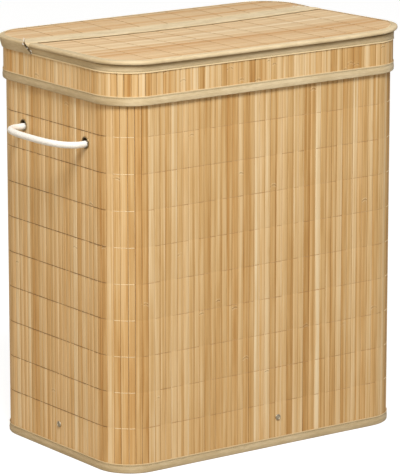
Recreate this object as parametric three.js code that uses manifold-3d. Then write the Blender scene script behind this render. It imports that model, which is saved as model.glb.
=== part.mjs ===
// Laundry hamper with two bins: a box of bamboo slat matting with round corners, a lid with a collar and a
// folding front flap, rope handles at both ends and two cloth bags side by side inside.
// Millimetres. X runs along the front, Y to the back, Z up. The origin is on the floor, under the middle.
import * as THREE from "three";
import { mergeVertices } from "three/addons/utils/BufferGeometryUtils.js";
import Module from "manifold-3d";

const wasm = await Module();
wasm.setup();

// Driving sizes: the box
const bodyWidth = 514; // outside the slats
const bodyDepth = 328; // outside the slats
const overallHeight = 600;
const cornerRadius = 54; // outside the slats

// Layers
const matThickness = 1.8;
const liningThickness = 0.5;
const tapeThickness = 0.6;
const wireDiameter = 3;
const layerGap = 0.3; // left between layers that touch
const lidClearance = 0.4; // between the lid's collar and the rim that it slides over

// Binding tapes and hook-and-loop strips
const baseTapeHeight = 14;
const rimTapeHeight = 18;
const stripThickness = 1.2;
const stripHeight = 22;

// Lid
const collarHeight = 57;
const collarTopTapeHeight = 10.3;
const collarBottomTapeHeight = 14.5;
const lidBoardThickness = 2;
const lidOverhang = 10; // of the lid's edge tape past the box
const lidTapeTopWidth = 13;
const lidTapeUnderWidth = 10;
const hingeY = 52;
const hingeBandWidth = 33;
const hingeUnderWidth = 10;
const flapTapeWidth = 3;

// Base
const baseBoardThickness = 4;
const baseBoardClearance = 0.8; // round the board, to the lining
const barThickness = 2;
const barWidth = 20;
const barTabDrop = 18; // from the bar's top to the end of its bent tab
const crossBarX = 24;
const longBarY = -6;
const rivetHeight = 43.5; // of the four wall rivets above the floor
const rivetAboveTabEnd = 9.5;

// Rivets and their washers
const rivetShankRadius = 2.2;
const rivetHeadRadius = 4.5;
const rivetHeadThickness = 1.3;
const rivetDimpleRadius = 2;
const rivetDimpleDepth = 0.7;
const rivetPeenRadius = 3.4;
const rivetPeenThickness = 1;
const rivetClearance = 0.3;
const washerRadius = 6;
const washerThickness = 0.8;

// Handles
const eyeletDrop = 125; // of the eyelets below the lid's top
const eyeletInset = 30; // of the eyelets from the start of the wall's round corner
const eyeletBore = 14;
const eyeletWall = 0.6;
const eyeletFlangeRadius = 9;
const eyeletFlangeThickness = 1;
const eyeletCurlRadius = 8.8;
const ropeDiameter = 9.5;
const handleReach = 43; // of the rope's middle line from the slats
const knotRadius = 11;
const knotLength = 20;

// Bags
const bagGap = 4; // between the two bags
const bagBelowTape = 1.6; // the bags' top edges hang this far under the rim's tape
const clothThickness = 0.8;
const hemHeight = 26;
const bagEndInset = 24; // of the bag's outer end, to pass the knots
const bagSideInset = 9;
const bagMiddleInset = 4;
const bagShoulder = 46; // height in which the cloth draws in under the hem

// Facets and shares
const cornerSteps = 5;
const wireSides = 8;
const roundSides = 16;
const ropeSides = 10;
const ropeSteps = 26;
const ropeWidthShare = 0.7; // powers of the rope's bow: under 1 is squarer than an ellipse
const ropeReachShare = 0.87;
const knotShares = [0.45, 0.84, 1, 0.84, 0.45]; // of the knot's radius, along its length
const quarterTurn = Math.PI / 2;
const overrun = 40; // of a cutting solid past what it cuts

// Places worked out from the sizes. Offsets are outwards from the slats' outer face.
const tapeOuter = layerGap + tapeThickness;
const liningOuter = -(matThickness + layerGap);
const liningInner = liningOuter - liningThickness;
const wireOffset = liningInner - layerGap - wireDiameter / 2;
const tapeInner = wireOffset - wireDiameter / 2 - layerGap - tapeThickness;

const lidTapeTop = overallHeight;
const lidMatTop = lidTapeTop - tapeThickness - layerGap;
const lidMatBottom = lidMatTop - matThickness;
const lidBoardTop = lidMatBottom - layerGap;
const lidBoardBottom = lidBoardTop - lidBoardThickness;
const lidTapeBottom = lidBoardBottom - layerGap - tapeThickness;

const collarTop = lidTapeBottom - layerGap;
const collarBottom = collarTop - collarHeight;
const collarTapeInner = tapeOuter + lidClearance;
const collarMatInner = collarTapeInner + tapeThickness + layerGap;
const collarMatOuter = collarMatInner + matThickness;
const collarTapeOuter = collarMatOuter + layerGap + tapeThickness;
const collarWireOffset = collarMatInner - layerGap - wireDiameter / 2;
const collarWireZ = collarTop - tapeThickness - layerGap - wireDiameter / 2;
const collarTopTapeInner = collarWireOffset - wireDiameter / 2 - layerGap - tapeThickness;

const rimTop = collarWireZ - wireDiameter / 2 - layerGap;
const matTop = rimTop - tapeThickness - layerGap;
const matBottom = tapeThickness + layerGap;

const longBarTop = rivetHeight - rivetAboveTabEnd + barTabDrop;
const crossBarTop = longBarTop + layerGap + barThickness;
const baseBoardBottom = crossBarTop + layerGap;
const baseBoardTop = baseBoardBottom + baseBoardThickness;
const tabOuter = liningInner - layerGap;
const tabInner = tabOuter - barThickness;
const shankHoleRadius = rivetShankRadius + rivetClearance;

const eyeletHeight = overallHeight - eyeletDrop;
const handleSpacing = bodyDepth - 2 * (cornerRadius + eyeletInset); // between the two eyelets of a handle
const ropeRadius = ropeDiameter / 2;
const eyeletRadius = eyeletBore / 2;
const ropeHeight = eyeletHeight - (eyeletRadius - ropeRadius - layerGap);
const flangeFace = layerGap + eyeletFlangeThickness;
const handlePivotOffset = flangeFace + layerGap + ropeRadius + layerGap;

const loopStripOuter = liningInner - layerGap;
const loopStripInner = loopStripOuter - stripThickness;
const hookStripOuter = loopStripInner - layerGap;
const hookStripInner = hookStripOuter - stripThickness;
const hemOuter = hookStripInner - layerGap;
const bagTop = rimTop - rimTapeHeight - bagBelowTape;
const stripTop = bagTop - (hemHeight - stripHeight) / 2;
const bagWidth = (bodyWidth + 2 * hemOuter - bagGap) / 2;
const bagCentre = (bagGap + bagWidth) / 2;

const box = { width: bodyWidth, depth: bodyDepth, radius: cornerRadius };

// Materials
const bamboo = new THREE.MeshStandardMaterial({ color: 0xd6aa6c, roughness: 0.55, metalness: 0 });
const tape = new THREE.MeshStandardMaterial({ color: 0xcdbd93, roughness: 0.85, metalness: 0 });
const lining = new THREE.MeshStandardMaterial({ color: 0xd9cdb0, roughness: 0.9, metalness: 0 });
const fibreboard = new THREE.MeshStandardMaterial({ color: 0xb08d63, roughness: 0.8, metalness: 0 });
const steel = new THREE.MeshStandardMaterial({ color: 0xa8a8a4, roughness: 0.35, metalness: 1 });
const rope = new THREE.MeshStandardMaterial({ color: 0xf1ece0, roughness: 0.8, metalness: 0 });
const cotton = new THREE.MeshStandardMaterial({ color: 0xe9e2d0, roughness: 0.9, metalness: 0 });
const strip = new THREE.MeshStandardMaterial({ color: 0xe4dcc6, roughness: 1, metalness: 0 });

const hamper = new THREE.Group();

function add(name, geometry, material) {
  const mesh = new THREE.Mesh(geometry, material);
  mesh.name = name;
  hamper.add(mesh);
  return mesh;
}

// A closed geometry as a solid, and back
function solid(geometry) {
  const bare = geometry.clone();
  bare.deleteAttribute("normal");
  bare.deleteAttribute("uv");
  const merged = mergeVertices(bare, layerGap / 1000);
  return new wasm.Manifold(
    new wasm.Mesh({
      numProp: 3,
      vertProperties: merged.attributes.position.array,
      triVerts: new Uint32Array(merged.index.array),
    }),
  );
}

function geometryOf(made) {
  const mesh = made.getMesh();
  return new THREE.BufferGeometry()
    .setAttribute("position", new THREE.BufferAttribute(mesh.vertProperties, 3))
    .setIndex(new THREE.BufferAttribute(mesh.triVerts, 1));
}

function cut(geometry, ...tools) {
  return geometryOf(tools.reduce((made, tool) => made.subtract(solid(tool)), solid(geometry)));
}

function join(geometry, ...others) {
  return geometryOf(others.reduce((made, other) => made.add(solid(other)), solid(geometry)));
}

// Points round a rounded rectangle, offset outwards, as many on every loop
function loop({ x = 0, width, depth, radius }, offset, z) {
  const points = [];
  [[1, -1], [1, 1], [-1, 1], [-1, -1]].forEach(([sideX, sideY], quarter) => {
    for (let step = 0; step <= cornerSteps; step++) {
      const angle = (quarter - 1 + step / cornerSteps) * quarterTurn;
      const reach = radius + offset;
      points.push(
        x + sideX * (width / 2 - radius) + reach * Math.cos(angle),
        sideY * (depth / 2 - radius) + reach * Math.sin(angle),
        z,
      );
    }
  });
  return points;
}

// A surface through loops. It closes on its first loop, or ends in flat caps and holds what lies between.
function skin(loops, closed) {
  const across = loops[0].length / 3;
  const index = [];
  for (let i = 0; i < loops.length - (closed ? 0 : 1); i++)
    for (let j = 0; j < across; j++) {
      const a = i * across + j;
      const b = i * across + ((j + 1) % across);
      const c = ((i + 1) % loops.length) * across + ((j + 1) % across);
      const d = ((i + 1) % loops.length) * across + j;
      index.push(a, b, c, a, c, d);
    }
  if (!closed)
    for (let j = 1; j < across - 1; j++) {
      const last = (loops.length - 1) * across;
      index.push(0, j + 1, j, last, last + j, last + j + 1);
    }
  const positions = new THREE.Float32BufferAttribute(loops.flat(), 3);
  return new THREE.BufferGeometry().setAttribute("position", positions).setIndex(index);
}

// A ring whose section is a list of [offset, z], counter-clockwise with offset to the right and z up
function ring(outline, section) {
  return skin(section.map(([offset, z]) => loop(outline, offset, z)), true);
}

function flatRing(outline, inner, outer, low, high) {
  return ring(outline, [[outer, low], [outer, high], [inner, high], [inner, low]]);
}

function wireHoop(outline, offset, z) {
  const section = Array.from({ length: wireSides }, (_, i) => {
    const angle = ((i + 0.5) / wireSides) * 2 * Math.PI;
    return [offset + (wireDiameter / 2) * Math.cos(angle), z + (wireDiameter / 2) * Math.sin(angle)];
  });
  return ring(outline, section);
}

// Tape folded over a bottom edge, with legs that rise, or over a top edge, with legs that hang
function foldedOverBottom(outline, inner, outer, edge, outerLeg, innerLeg) {
  return ring(outline, [
    [outer, edge],
    [outer, edge + outerLeg],
    [outer - tapeThickness, edge + outerLeg],
    [outer - tapeThickness, edge + tapeThickness],
    [inner + tapeThickness, edge + tapeThickness],
    [inner + tapeThickness, edge + innerLeg],
    [inner, edge + innerLeg],
    [inner, edge],
  ]);
}

function foldedOverTop(outline, inner, outer, edge, outerLeg, innerLeg) {
  return ring(outline, [
    [outer, edge - outerLeg],
    [outer, edge],
    [inner, edge],
    [inner, edge - innerLeg],
    [inner + tapeThickness, edge - innerLeg],
    [inner + tapeThickness, edge - tapeThickness],
    [outer - tapeThickness, edge - tapeThickness],
    [outer - tapeThickness, edge - outerLeg],
  ]);
}

function plate(outline, offset, low, high) {
  return skin([loop(outline, offset, low), loop(outline, offset, high)], false);
}

function block(lowX, highX, lowY, highY, lowZ, highZ) {
  return new THREE.BoxGeometry(highX - lowX, highY - lowY, highZ - lowZ).translate(
    (lowX + highX) / 2,
    (lowY + highY) / 2,
    (lowZ + highZ) / 2,
  );
}

// Turned pieces are drawn as [radius, distance outwards from the slats] and set against a wall
const walls = {
  left: { side: -1, alongX: true },
  right: { side: 1, alongX: true },
  front: { side: -1, alongX: false },
  rear: { side: 1, alongX: false },
};

function againstWall(geometry, wall, along, z) {
  const { side, alongX } = walls[wall];
  if (alongX)
    return geometry.rotateZ(-side * quarterTurn).translate((side * bodyWidth) / 2, along, z);
  return side > 0
    ? geometry.translate(along, bodyDepth / 2, z)
    : geometry.rotateZ(2 * quarterTurn).translate(along, -bodyDepth / 2, z);
}

function turned(profile, wall, along, z) {
  const points = profile.map(([radius, outwards]) => new THREE.Vector2(radius, outwards));
  return againstWall(new THREE.LatheGeometry(points, roundSides), wall, along, z);
}

function drill(radius, wall, along, z) {
  const past = [[0, -overrun], [radius, -overrun], [radius, overrun], [0, overrun]];
  return turned(past, wall, along, z);
}

const handleEnds = ["left", "right"].flatMap((wall) => [
  { wall, name: `${wall}_rear`, y: handleSpacing / 2 },
  { wall, name: `${wall}_front`, y: -handleSpacing / 2 },
]);
const barEnds = [
  { wall: "left", along: longBarY },
  { wall: "right", along: longBarY },
  { wall: "front", along: crossBarX },
  { wall: "rear", along: crossBarX },
];

// The wall: slat matting on a cloth lining, with its holes for the eyelets and rivets
function wallHoles() {
  const barrelHole = eyeletRadius + eyeletWall + layerGap;
  return [
    ...handleEnds.map(({ wall, y }) => drill(barrelHole, wall, y, eyeletHeight)),
    ...barEnds.map(({ wall, along }) => drill(shankHoleRadius, wall, along, rivetHeight)),
  ];
}

function makeWall() {
  add("wall_mat", cut(flatRing(box, -matThickness, 0, matBottom, matTop), ...wallHoles()), bamboo);
  add("wall_lining", cut(flatRing(box, liningInner, liningOuter, matBottom, matTop), ...wallHoles()), lining);
  add("rim_hoop", wireHoop(box, wireOffset, matTop - wireDiameter / 2), steel);
  add("base_hoop", wireHoop(box, wireOffset, matBottom + wireDiameter / 2), steel);
  add("rim_tape", foldedOverTop(box, tapeInner, tapeOuter, rimTop, rimTapeHeight, rimTapeHeight), tape);
  add("base_tape", foldedOverBottom(box, tapeInner, tapeOuter, 0, baseTapeHeight, baseTapeHeight), tape);
  add("rim_loop_strip", flatRing(box, loopStripInner, loopStripOuter, stripTop - stripHeight, stripTop), strip);
}

// The base: a board on two crossed steel bars, whose bent ends are riveted to the walls
function bar(length, top) {
  const end = length / 2;
  const outline = new THREE.Shape([
    new THREE.Vector2(-end, top - barTabDrop),
    new THREE.Vector2(-end + barThickness, top - barTabDrop),
    new THREE.Vector2(-end + barThickness, top - barThickness),
    new THREE.Vector2(end - barThickness, top - barThickness),
    new THREE.Vector2(end - barThickness, top - barTabDrop),
    new THREE.Vector2(end, top - barTabDrop),
    new THREE.Vector2(end, top),
    new THREE.Vector2(-end, top),
  ]);
  return new THREE.ExtrudeGeometry(outline, { depth: barWidth, bevelEnabled: false })
    .rotateX(quarterTurn)
    .translate(0, barWidth / 2, 0);
}

function makeBase() {
  const pivotHole = new THREE.CylinderGeometry(shankHoleRadius, shankHoleRadius, overrun, roundSides)
    .rotateX(quarterTurn)
    .translate(crossBarX, longBarY, longBarTop);
  const rivetHoles = barEnds.map(({ wall, along }) => drill(shankHoleRadius, wall, along, rivetHeight));
  const longBar = bar(bodyWidth + 2 * tabOuter, longBarTop).translate(0, longBarY, 0);
  const crossBar = bar(bodyDepth + 2 * tabOuter, crossBarTop)
    .rotateZ(quarterTurn)
    .translate(crossBarX, 0, 0);
  add("long_spreader_bar", cut(longBar, pivotHole, ...rivetHoles), steel);
  add("cross_spreader_bar", cut(crossBar, pivotHole, ...rivetHoles), steel);
  const pivotHeadTop = longBarTop - barThickness - layerGap;
  const pivot = new THREE.LatheGeometry(
    [
      new THREE.Vector2(0, pivotHeadTop - rivetHeadThickness),
      new THREE.Vector2(rivetHeadRadius, pivotHeadTop - rivetHeadThickness),
      new THREE.Vector2(rivetHeadRadius, pivotHeadTop),
      new THREE.Vector2(rivetShankRadius, pivotHeadTop),
      new THREE.Vector2(rivetShankRadius, crossBarTop),
      new THREE.Vector2(0, crossBarTop),
    ],
    roundSides,
  );
  add("spreader_pivot", pivot.rotateX(quarterTurn).translate(crossBarX, longBarY, 0), steel);
  add("base_board", plate(box, liningInner - baseBoardClearance, baseBoardBottom, baseBoardTop), fibreboard);
}

// Hollow-headed rivets through the wall and the bars' tabs, each on a washer inside
function makeRivets() {
  const washerOuter = tabInner - layerGap;
  const washerInner = washerOuter - washerThickness;
  const peenOuter = washerInner - layerGap;
  const rivet = [
    [0, peenOuter - rivetPeenThickness],
    [rivetPeenRadius, peenOuter - rivetPeenThickness],
    [rivetPeenRadius, peenOuter],
    [rivetShankRadius, peenOuter],
    [rivetShankRadius, layerGap],
    [rivetHeadRadius, layerGap],
    [rivetHeadRadius, layerGap + rivetHeadThickness / 2],
    [(rivetHeadRadius + rivetDimpleRadius) / 2, layerGap + rivetHeadThickness],
    [rivetDimpleRadius, layerGap + rivetHeadThickness],
    [0, layerGap + rivetHeadThickness - rivetDimpleDepth],
  ];
  const washer = [
    [shankHoleRadius, washerInner],
    [washerRadius, washerInner],
    [washerRadius, washerOuter],
    [shankHoleRadius, washerOuter],
    [shankHoleRadius, washerInner],
  ];
  barEnds.forEach(({ wall, along }) => {
    add(`${wall}_wall_rivet`, turned(rivet, wall, along, rivetHeight), steel);
    add(`${wall}_rivet_washer`, turned(washer, wall, along, rivetHeight), steel);
  });
}

// Eyelets, their back rings and the knots that hold the rope inside the wall
function makeEyelets() {
  const barrelRadius = eyeletRadius + eyeletWall;
  const ringOuter = liningInner - layerGap;
  const ringInner = ringOuter - washerThickness;
  const curlOuter = ringInner - layerGap;
  const curlInner = curlOuter - eyeletWall;
  const eyelet = [
    [eyeletRadius, curlInner],
    [eyeletCurlRadius, curlInner],
    [eyeletCurlRadius, curlOuter],
    [barrelRadius, curlOuter],
    [barrelRadius, layerGap],
    [eyeletFlangeRadius, layerGap],
    [eyeletFlangeRadius, layerGap + eyeletFlangeThickness / 3],
    [(eyeletFlangeRadius + barrelRadius) / 2, flangeFace],
    [barrelRadius, flangeFace],
    [eyeletRadius, layerGap + eyeletFlangeThickness / 3],
    [eyeletRadius, curlInner],
  ];
  const backRing = [
    [barrelRadius + layerGap, ringInner],
    [eyeletFlangeRadius, ringInner],
    [eyeletFlangeRadius, ringOuter],
    [barrelRadius + layerGap, ringOuter],
    [barrelRadius + layerGap, ringInner],
  ];
  const knotOuter = curlInner - layerGap;
  const knot = [
    [0, knotOuter - knotLength],
    ...knotShares.map((share, i) => [
      Math.max(knotRadius * share, ropeRadius),
      knotOuter - knotLength * (1 - i / (knotShares.length - 1)),
    ]),
    [ropeRadius, knotOuter],
    [ropeRadius, flangeFace],
    [0, flangeFace],
  ];
  handleEnds.forEach(({ wall, name, y }) => {
    add(`${name}_eyelet`, turned(eyelet, wall, y, eyeletHeight), steel);
    add(`${name}_eyelet_ring`, turned(backRing, wall, y, eyeletHeight), steel);
    add(`${name}_rope_knot`, turned(knot, wall, y, ropeHeight), rope);
  });
}

// The rope's bow outside the wall. It swings about the line through its two round ends.
function makeHandle(wall, side) {
  const pivotX = side * (bodyWidth / 2 + handlePivotOffset);
  const bowPoint = (turn) =>
    new THREE.Vector3(
      pivotX + side * (handleReach - handlePivotOffset) * Math.abs(Math.sin(turn)) ** ropeReachShare,
      (handleSpacing / 2) * Math.sign(Math.cos(turn)) * Math.abs(Math.cos(turn)) ** ropeWidthShare,
      ropeHeight,
    );
  const points = Array.from({ length: ropeSteps + 1 }, (_, i) => bowPoint((Math.PI * i) / ropeSteps));
  const section = new THREE.Shape().absarc(0, 0, ropeRadius, 0, 2 * Math.PI);
  const bow = new THREE.ExtrudeGeometry(section, {
    steps: ropeSteps,
    curveSegments: ropeSides / 2,
    extrudePath: new THREE.CatmullRomCurve3(points),
  });
  const end = (y) =>
    new THREE.SphereGeometry(ropeRadius, ropeSides, ropeSides / 2).translate(pivotX, y, ropeHeight);
  add(`${wall}_handle_rope`, join(bow, end(handleSpacing / 2), end(-handleSpacing / 2)), rope);
}

// The lid: a collar round the rim, a fixed rear panel and a front flap that folds at the hinge band
function makeCollar() {
  const matLow = collarBottom + tapeThickness + layerGap;
  const matHigh = collarTop - tapeThickness - layerGap;
  const innerTopLeg = tapeThickness + layerGap + wireDiameter;
  const bottomLeg = collarBottomTapeHeight;
  add("collar_mat", flatRing(box, collarMatInner, collarMatOuter, matLow, matHigh), bamboo);
  add("collar_hoop", wireHoop(box, collarWireOffset, collarWireZ), steel);
  add(
    "collar_top_tape",
    foldedOverTop(box, collarTopTapeInner, collarTapeOuter, collarTop, collarTopTapeHeight, innerTopLeg),
    tape,
  );
  add(
    "collar_bottom_tape",
    foldedOverBottom(box, collarTapeInner, collarTapeOuter, collarBottom, bottomLeg, bottomLeg),
    tape,
  );
}

function lidEdgeTape() {
  const outer = lidOverhang;
  return ring(box, [
    [outer, lidTapeBottom],
    [outer, lidTapeTop],
    [outer - lidTapeTopWidth, lidTapeTop],
    [outer - lidTapeTopWidth, lidTapeTop - tapeThickness],
    [outer - tapeThickness, lidTapeTop - tapeThickness],
    [outer - tapeThickness, lidTapeBottom + tapeThickness],
    [outer - lidTapeUnderWidth, lidTapeBottom + tapeThickness],
    [outer - lidTapeUnderWidth, lidTapeBottom],
  ]);
}

// Tape folded round the straight edge of a lid panel at the hinge, towards the back or towards the front
function hingeTape(towards, topWidth) {
  const from = layerGap / 2;
  const outline = new THREE.Shape(
    [
      [from, lidTapeBottom],
      [from + hingeUnderWidth, lidTapeBottom],
      [from + hingeUnderWidth, lidTapeBottom + tapeThickness],
      [from + tapeThickness, lidTapeBottom + tapeThickness],
      [from + tapeThickness, lidTapeTop - tapeThickness],
      [from + topWidth, lidTapeTop - tapeThickness],
      [from + topWidth, lidTapeTop],
      [from, lidTapeTop],
    ].map(([y, z]) => new THREE.Vector2(y, z)),
  );
  const length = bodyWidth + 2 * (lidOverhang - lidTapeTopWidth - layerGap);
  return new THREE.ExtrudeGeometry(outline, { depth: length, bevelEnabled: false })
    .translate(0, 0, -length / 2)
    .rotateX(quarterTurn)
    .rotateZ(towards * quarterTurn)
    .translate(0, hingeY, 0);
}

function makeLidPanels() {
  const reach = (bodyWidth + bodyDepth) / 2 + overrun;
  const panelEdge = lidOverhang - tapeThickness - layerGap;
  const tapeFrom = layerGap / 2;
  const panelFrom = tapeFrom + tapeThickness + layerGap;
  const behind = (gap) => block(-reach, reach, hingeY - gap, reach, 0, 2 * overallHeight);
  const before = (gap) => block(-reach, reach, -reach, hingeY + gap, 0, 2 * overallHeight);
  const mat = plate(box, panelEdge, lidMatBottom, lidMatTop);
  const board = plate(box, panelEdge, lidBoardBottom, lidBoardTop);
  add("rear_panel_mat", cut(mat, before(panelFrom)), bamboo);
  add("rear_panel_board", cut(board, before(panelFrom)), fibreboard);
  add("rear_edge_tape", cut(lidEdgeTape(), before(tapeFrom)), tape);
  add("hinge_band", hingeTape(1, hingeBandWidth), tape);
  add("flap_mat", cut(mat, behind(panelFrom)), bamboo);
  add("flap_board", cut(board, behind(panelFrom)), fibreboard);
  add("flap_edge_tape", cut(lidEdgeTape(), behind(tapeFrom)), tape);
  add("flap_hinge_tape", hingeTape(-1, flapTapeWidth), tape);
}

// A bag: cloth cup, hem folded over its top edge with a wire inside, and a hook strip on three sides
function makeBag(name, side) {
  const mouth = {
    x: side * bagCentre,
    width: bagWidth,
    depth: bodyDepth + 2 * hemOuter,
    radius: cornerRadius + hemOuter,
  };
  const wireIn = -(tapeThickness + layerGap + wireDiameter / 2);
  const hemInner = wireIn - wireDiameter / 2 - layerGap - tapeThickness;
  const clothOuter = -(tapeThickness + layerGap);
  const clothInner = clothOuter - clothThickness;
  const clothTop = bagTop - tapeThickness - 2 * layerGap - wireDiameter;
  const hemBottom = bagTop - hemHeight;
  const bagFloor = baseBoardTop + layerGap;
  const cup = {
    x: mouth.x - (side * (bagEndInset - bagMiddleInset)) / 2,
    width: mouth.width - bagEndInset - bagMiddleInset,
    depth: mouth.depth - 2 * bagSideInset,
    radius: mouth.radius - bagSideInset,
  };
  const bag = skin(
    [
      loop(cup, clothOuter, bagFloor),
      loop(cup, clothOuter, hemBottom - bagShoulder),
      loop(mouth, clothOuter, hemBottom),
      loop(mouth, clothOuter, clothTop),
      loop(mouth, clothInner, clothTop),
      loop(mouth, clothInner, hemBottom),
      loop(cup, clothInner, hemBottom - bagShoulder),
      loop(cup, clothInner, bagFloor + clothThickness),
    ],
    false,
  );
  add(`${name}_bag`, bag, cotton);
  add(`${name}_bag_hem`, foldedOverTop(mouth, hemInner, 0, bagTop, hemHeight, hemHeight), cotton);
  add(`${name}_bag_hoop`, wireHoop(mouth, wireIn, bagTop - tapeThickness - layerGap - wireDiameter / 2), steel);
  const stripRing = flatRing(box, hookStripInner, hookStripOuter, stripTop - stripHeight, stripTop);
  const middle = side * (bagGap / 2 + mouth.radius);
  const far = -side * (bodyWidth + overrun);
  const otherSide = block(
    Math.min(middle, far), Math.max(middle, far), -bodyDepth, bodyDepth, 0, overallHeight,
  );
  add(`${name}_bag_hook_strip`, cut(stripRing, otherSide), strip);
}

makeWall();
makeBase();
makeRivets();
makeEyelets();
makeHandle("left", -1);
makeHandle("right", 1);
makeBag("left", -1);
makeBag("right", 1);
makeCollar();
makeLidPanels();

export default hamper;
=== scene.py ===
# Laundry hamper with two bins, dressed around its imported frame.
# Metres, X along the front, Y to the back, Z up. The camera repeats the photograph's view.
import math
import random

import bpy
import bmesh
import numpy as np
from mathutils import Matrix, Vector


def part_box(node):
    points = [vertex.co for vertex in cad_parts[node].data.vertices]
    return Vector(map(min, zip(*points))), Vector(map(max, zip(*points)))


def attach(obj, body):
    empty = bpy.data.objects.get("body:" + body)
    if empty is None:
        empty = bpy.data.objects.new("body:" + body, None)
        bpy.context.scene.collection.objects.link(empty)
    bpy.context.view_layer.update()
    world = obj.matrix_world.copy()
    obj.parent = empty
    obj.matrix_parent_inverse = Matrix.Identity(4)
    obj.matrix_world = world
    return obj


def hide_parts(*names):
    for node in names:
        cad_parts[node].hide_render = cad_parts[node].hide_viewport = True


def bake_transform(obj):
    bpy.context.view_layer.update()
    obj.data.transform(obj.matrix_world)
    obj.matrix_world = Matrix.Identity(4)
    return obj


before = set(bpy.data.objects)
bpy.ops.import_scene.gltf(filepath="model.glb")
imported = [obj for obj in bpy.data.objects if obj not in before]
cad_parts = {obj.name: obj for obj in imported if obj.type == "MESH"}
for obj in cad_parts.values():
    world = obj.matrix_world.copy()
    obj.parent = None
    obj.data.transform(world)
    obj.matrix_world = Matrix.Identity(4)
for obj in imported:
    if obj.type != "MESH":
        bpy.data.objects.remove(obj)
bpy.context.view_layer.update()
mm = 0.001
upwards = Vector((0, 0, 1))


# Lowest and highest height of a CAD node
def heights(node):
    low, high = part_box(node)
    return low[2], high[2]


# Sizes that the frame gives
halfX, halfY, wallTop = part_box("wall_mat")[1]  # of the wall, outside the slats
wallBottom = heights("wall_mat")[0]
baseTapeTop = heights("base_tape")[1]
rimLow, rimTop = heights("rim_tape")
collarLow = heights("collar_bottom_tape")[0]
collarHigh = heights("collar_top_tape")[1]
lidUnder, lidTop = heights("flap_edge_tape")
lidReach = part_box("flap_edge_tape")[1][0] - halfX  # of the lid's edge past the wall
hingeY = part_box("hinge_band")[0][1]
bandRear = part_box("hinge_band")[1][1]
bagTop = heights("left_bag_hem")[1]
bagFloor = heights("left_bag")[0]
stripLow, stripHigh = heights("rim_loop_strip")

layout = {
    "cornerRadius": 54 * mm,
    "matThickness": 1.8 * mm,
    "eyeletY": 80 * mm,
    "eyeletZ": 475 * mm,
    "ropeZ": 473.05 * mm,
    "rivetZ": 43.5 * mm,
    "crossX": 24 * mm,
    "longY": -6 * mm,
    "threadTop": 491.6 * mm,
    "threadPitch": 53.1 * mm,
    "threadRows": 9,
}
cornerRadius = layout["cornerRadius"]
thick = layout["matThickness"]
wallPath = (halfX, halfY, cornerRadius)  # a rounded rectangle: half its width, half its depth, radius
threadHeights = [layout["threadTop"] - i * layout["threadPitch"] for i in range(layout["threadRows"])]
outwards = {"left": (-1, 0), "right": (1, 0), "front": (0, -1), "rear": (0, 1)}


def linear(*rgb):
    shares = [c / 255 for c in rgb]
    return tuple(c / 12.92 if c <= 0.04045 else ((c + 0.055) / 1.055) ** 2.4 for c in shares) + (1.0,)


# Meshes
# uv is one pair for each vertex, values a dictionary of one number for each vertex
def makeMesh(name, points, faces, material=None, uv=None, values=None, angle=40, recalc=True):
    mesh = bpy.data.meshes.new(name)
    mesh.from_pydata([tuple(p) for p in points], [], [tuple(f) for f in faces])
    for key, data in (values or {}).items():
        layer = mesh.attributes.new(key, "FLOAT", "POINT")
        layer.data.foreach_set("value", np.asarray(data, np.float32))
    if uv is not None:
        layer = mesh.uv_layers.new(name="run")
        index = np.empty(len(mesh.loops), np.int32)
        mesh.loops.foreach_get("vertex_index", index)
        layer.data.foreach_set("uv", np.asarray(uv, np.float32)[index].ravel())
    if recalc:
        work = bmesh.new()
        work.from_mesh(mesh)
        bmesh.ops.recalc_face_normals(work, faces=work.faces)
        work.to_mesh(mesh)
        work.free()
    mesh.shade_smooth()
    mesh.set_sharp_from_angle(angle=math.radians(angle))
    if material:
        mesh.materials.append(material)
    piece = bpy.data.objects.new(name, mesh)
    bpy.context.collection.objects.link(piece)
    return piece


# Faces between rows of points. A tube closes its columns, a ring its rows too, and caps close a tube's ends
def gridFaces(rows, columns, closeRows=False, closeColumns=False, first=0, caps=False):
    faces = []
    for i in range(rows if closeRows else rows - 1):
        for j in range(columns if closeColumns else columns - 1):
            below, above = first + i * columns, first + ((i + 1) % rows) * columns
            after = (j + 1) % columns
            faces.append((below + j, below + after, above + after, above + j))
    if caps:
        faces += [tuple(range(start, start + columns)) for start in (first, first + (rows - 1) * columns)]
    return faces


def circle(count, turn=0.0):
    return [2 * math.pi * (k + turn) / count for k in range(count)]


def smoothstep(x):
    x = np.clip(x, 0, 1)
    return x * x * (3 - 2 * x)


# The mesh of a piece with its modifiers applied
def applied(piece):
    bpy.context.view_layer.update()
    return bpy.data.meshes.new_from_object(piece.evaluated_get(bpy.context.evaluated_depsgraph_get()))


# The mesh of a piece with round holes through it: each is a centre, an axis and a radius
def bored(piece, holes, depth):
    cutters = []
    for centre, axis, radius in holes:
        side = upwards.cross(Vector(axis)).normalized()
        ring = [
            Vector(centre) + Vector(axis) * reach + radius * (math.cos(a) * side + math.sin(a) * upwards)
            for reach in (-depth, depth) for a in circle(40, 0.5)
        ]
        cutters.append(makeMesh("cutter", ring, gridFaces(2, 40, False, True, caps=True)))
        step = piece.modifiers.new("hole", "BOOLEAN")
        step.operation = "DIFFERENCE"
        step.solver = "EXACT"
        step.object = cutters[-1]
    mesh = applied(piece)
    for cutter in cutters:
        bpy.data.objects.remove(cutter)
    piece.modifiers.clear()
    return mesh


# A smooth wandering value between about -1 and 1, the same at each run
class Ripple:
    def __init__(self, seed, wavelengths):
        draw = random.Random(seed)
        self.waves = [(2 * math.pi / w, draw.uniform(0, 2 * math.pi)) for w in wavelengths]

    def __call__(self, x):
        return float(sum(np.sin(k * x + p) for k, p in self.waves) / len(self.waves))


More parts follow.
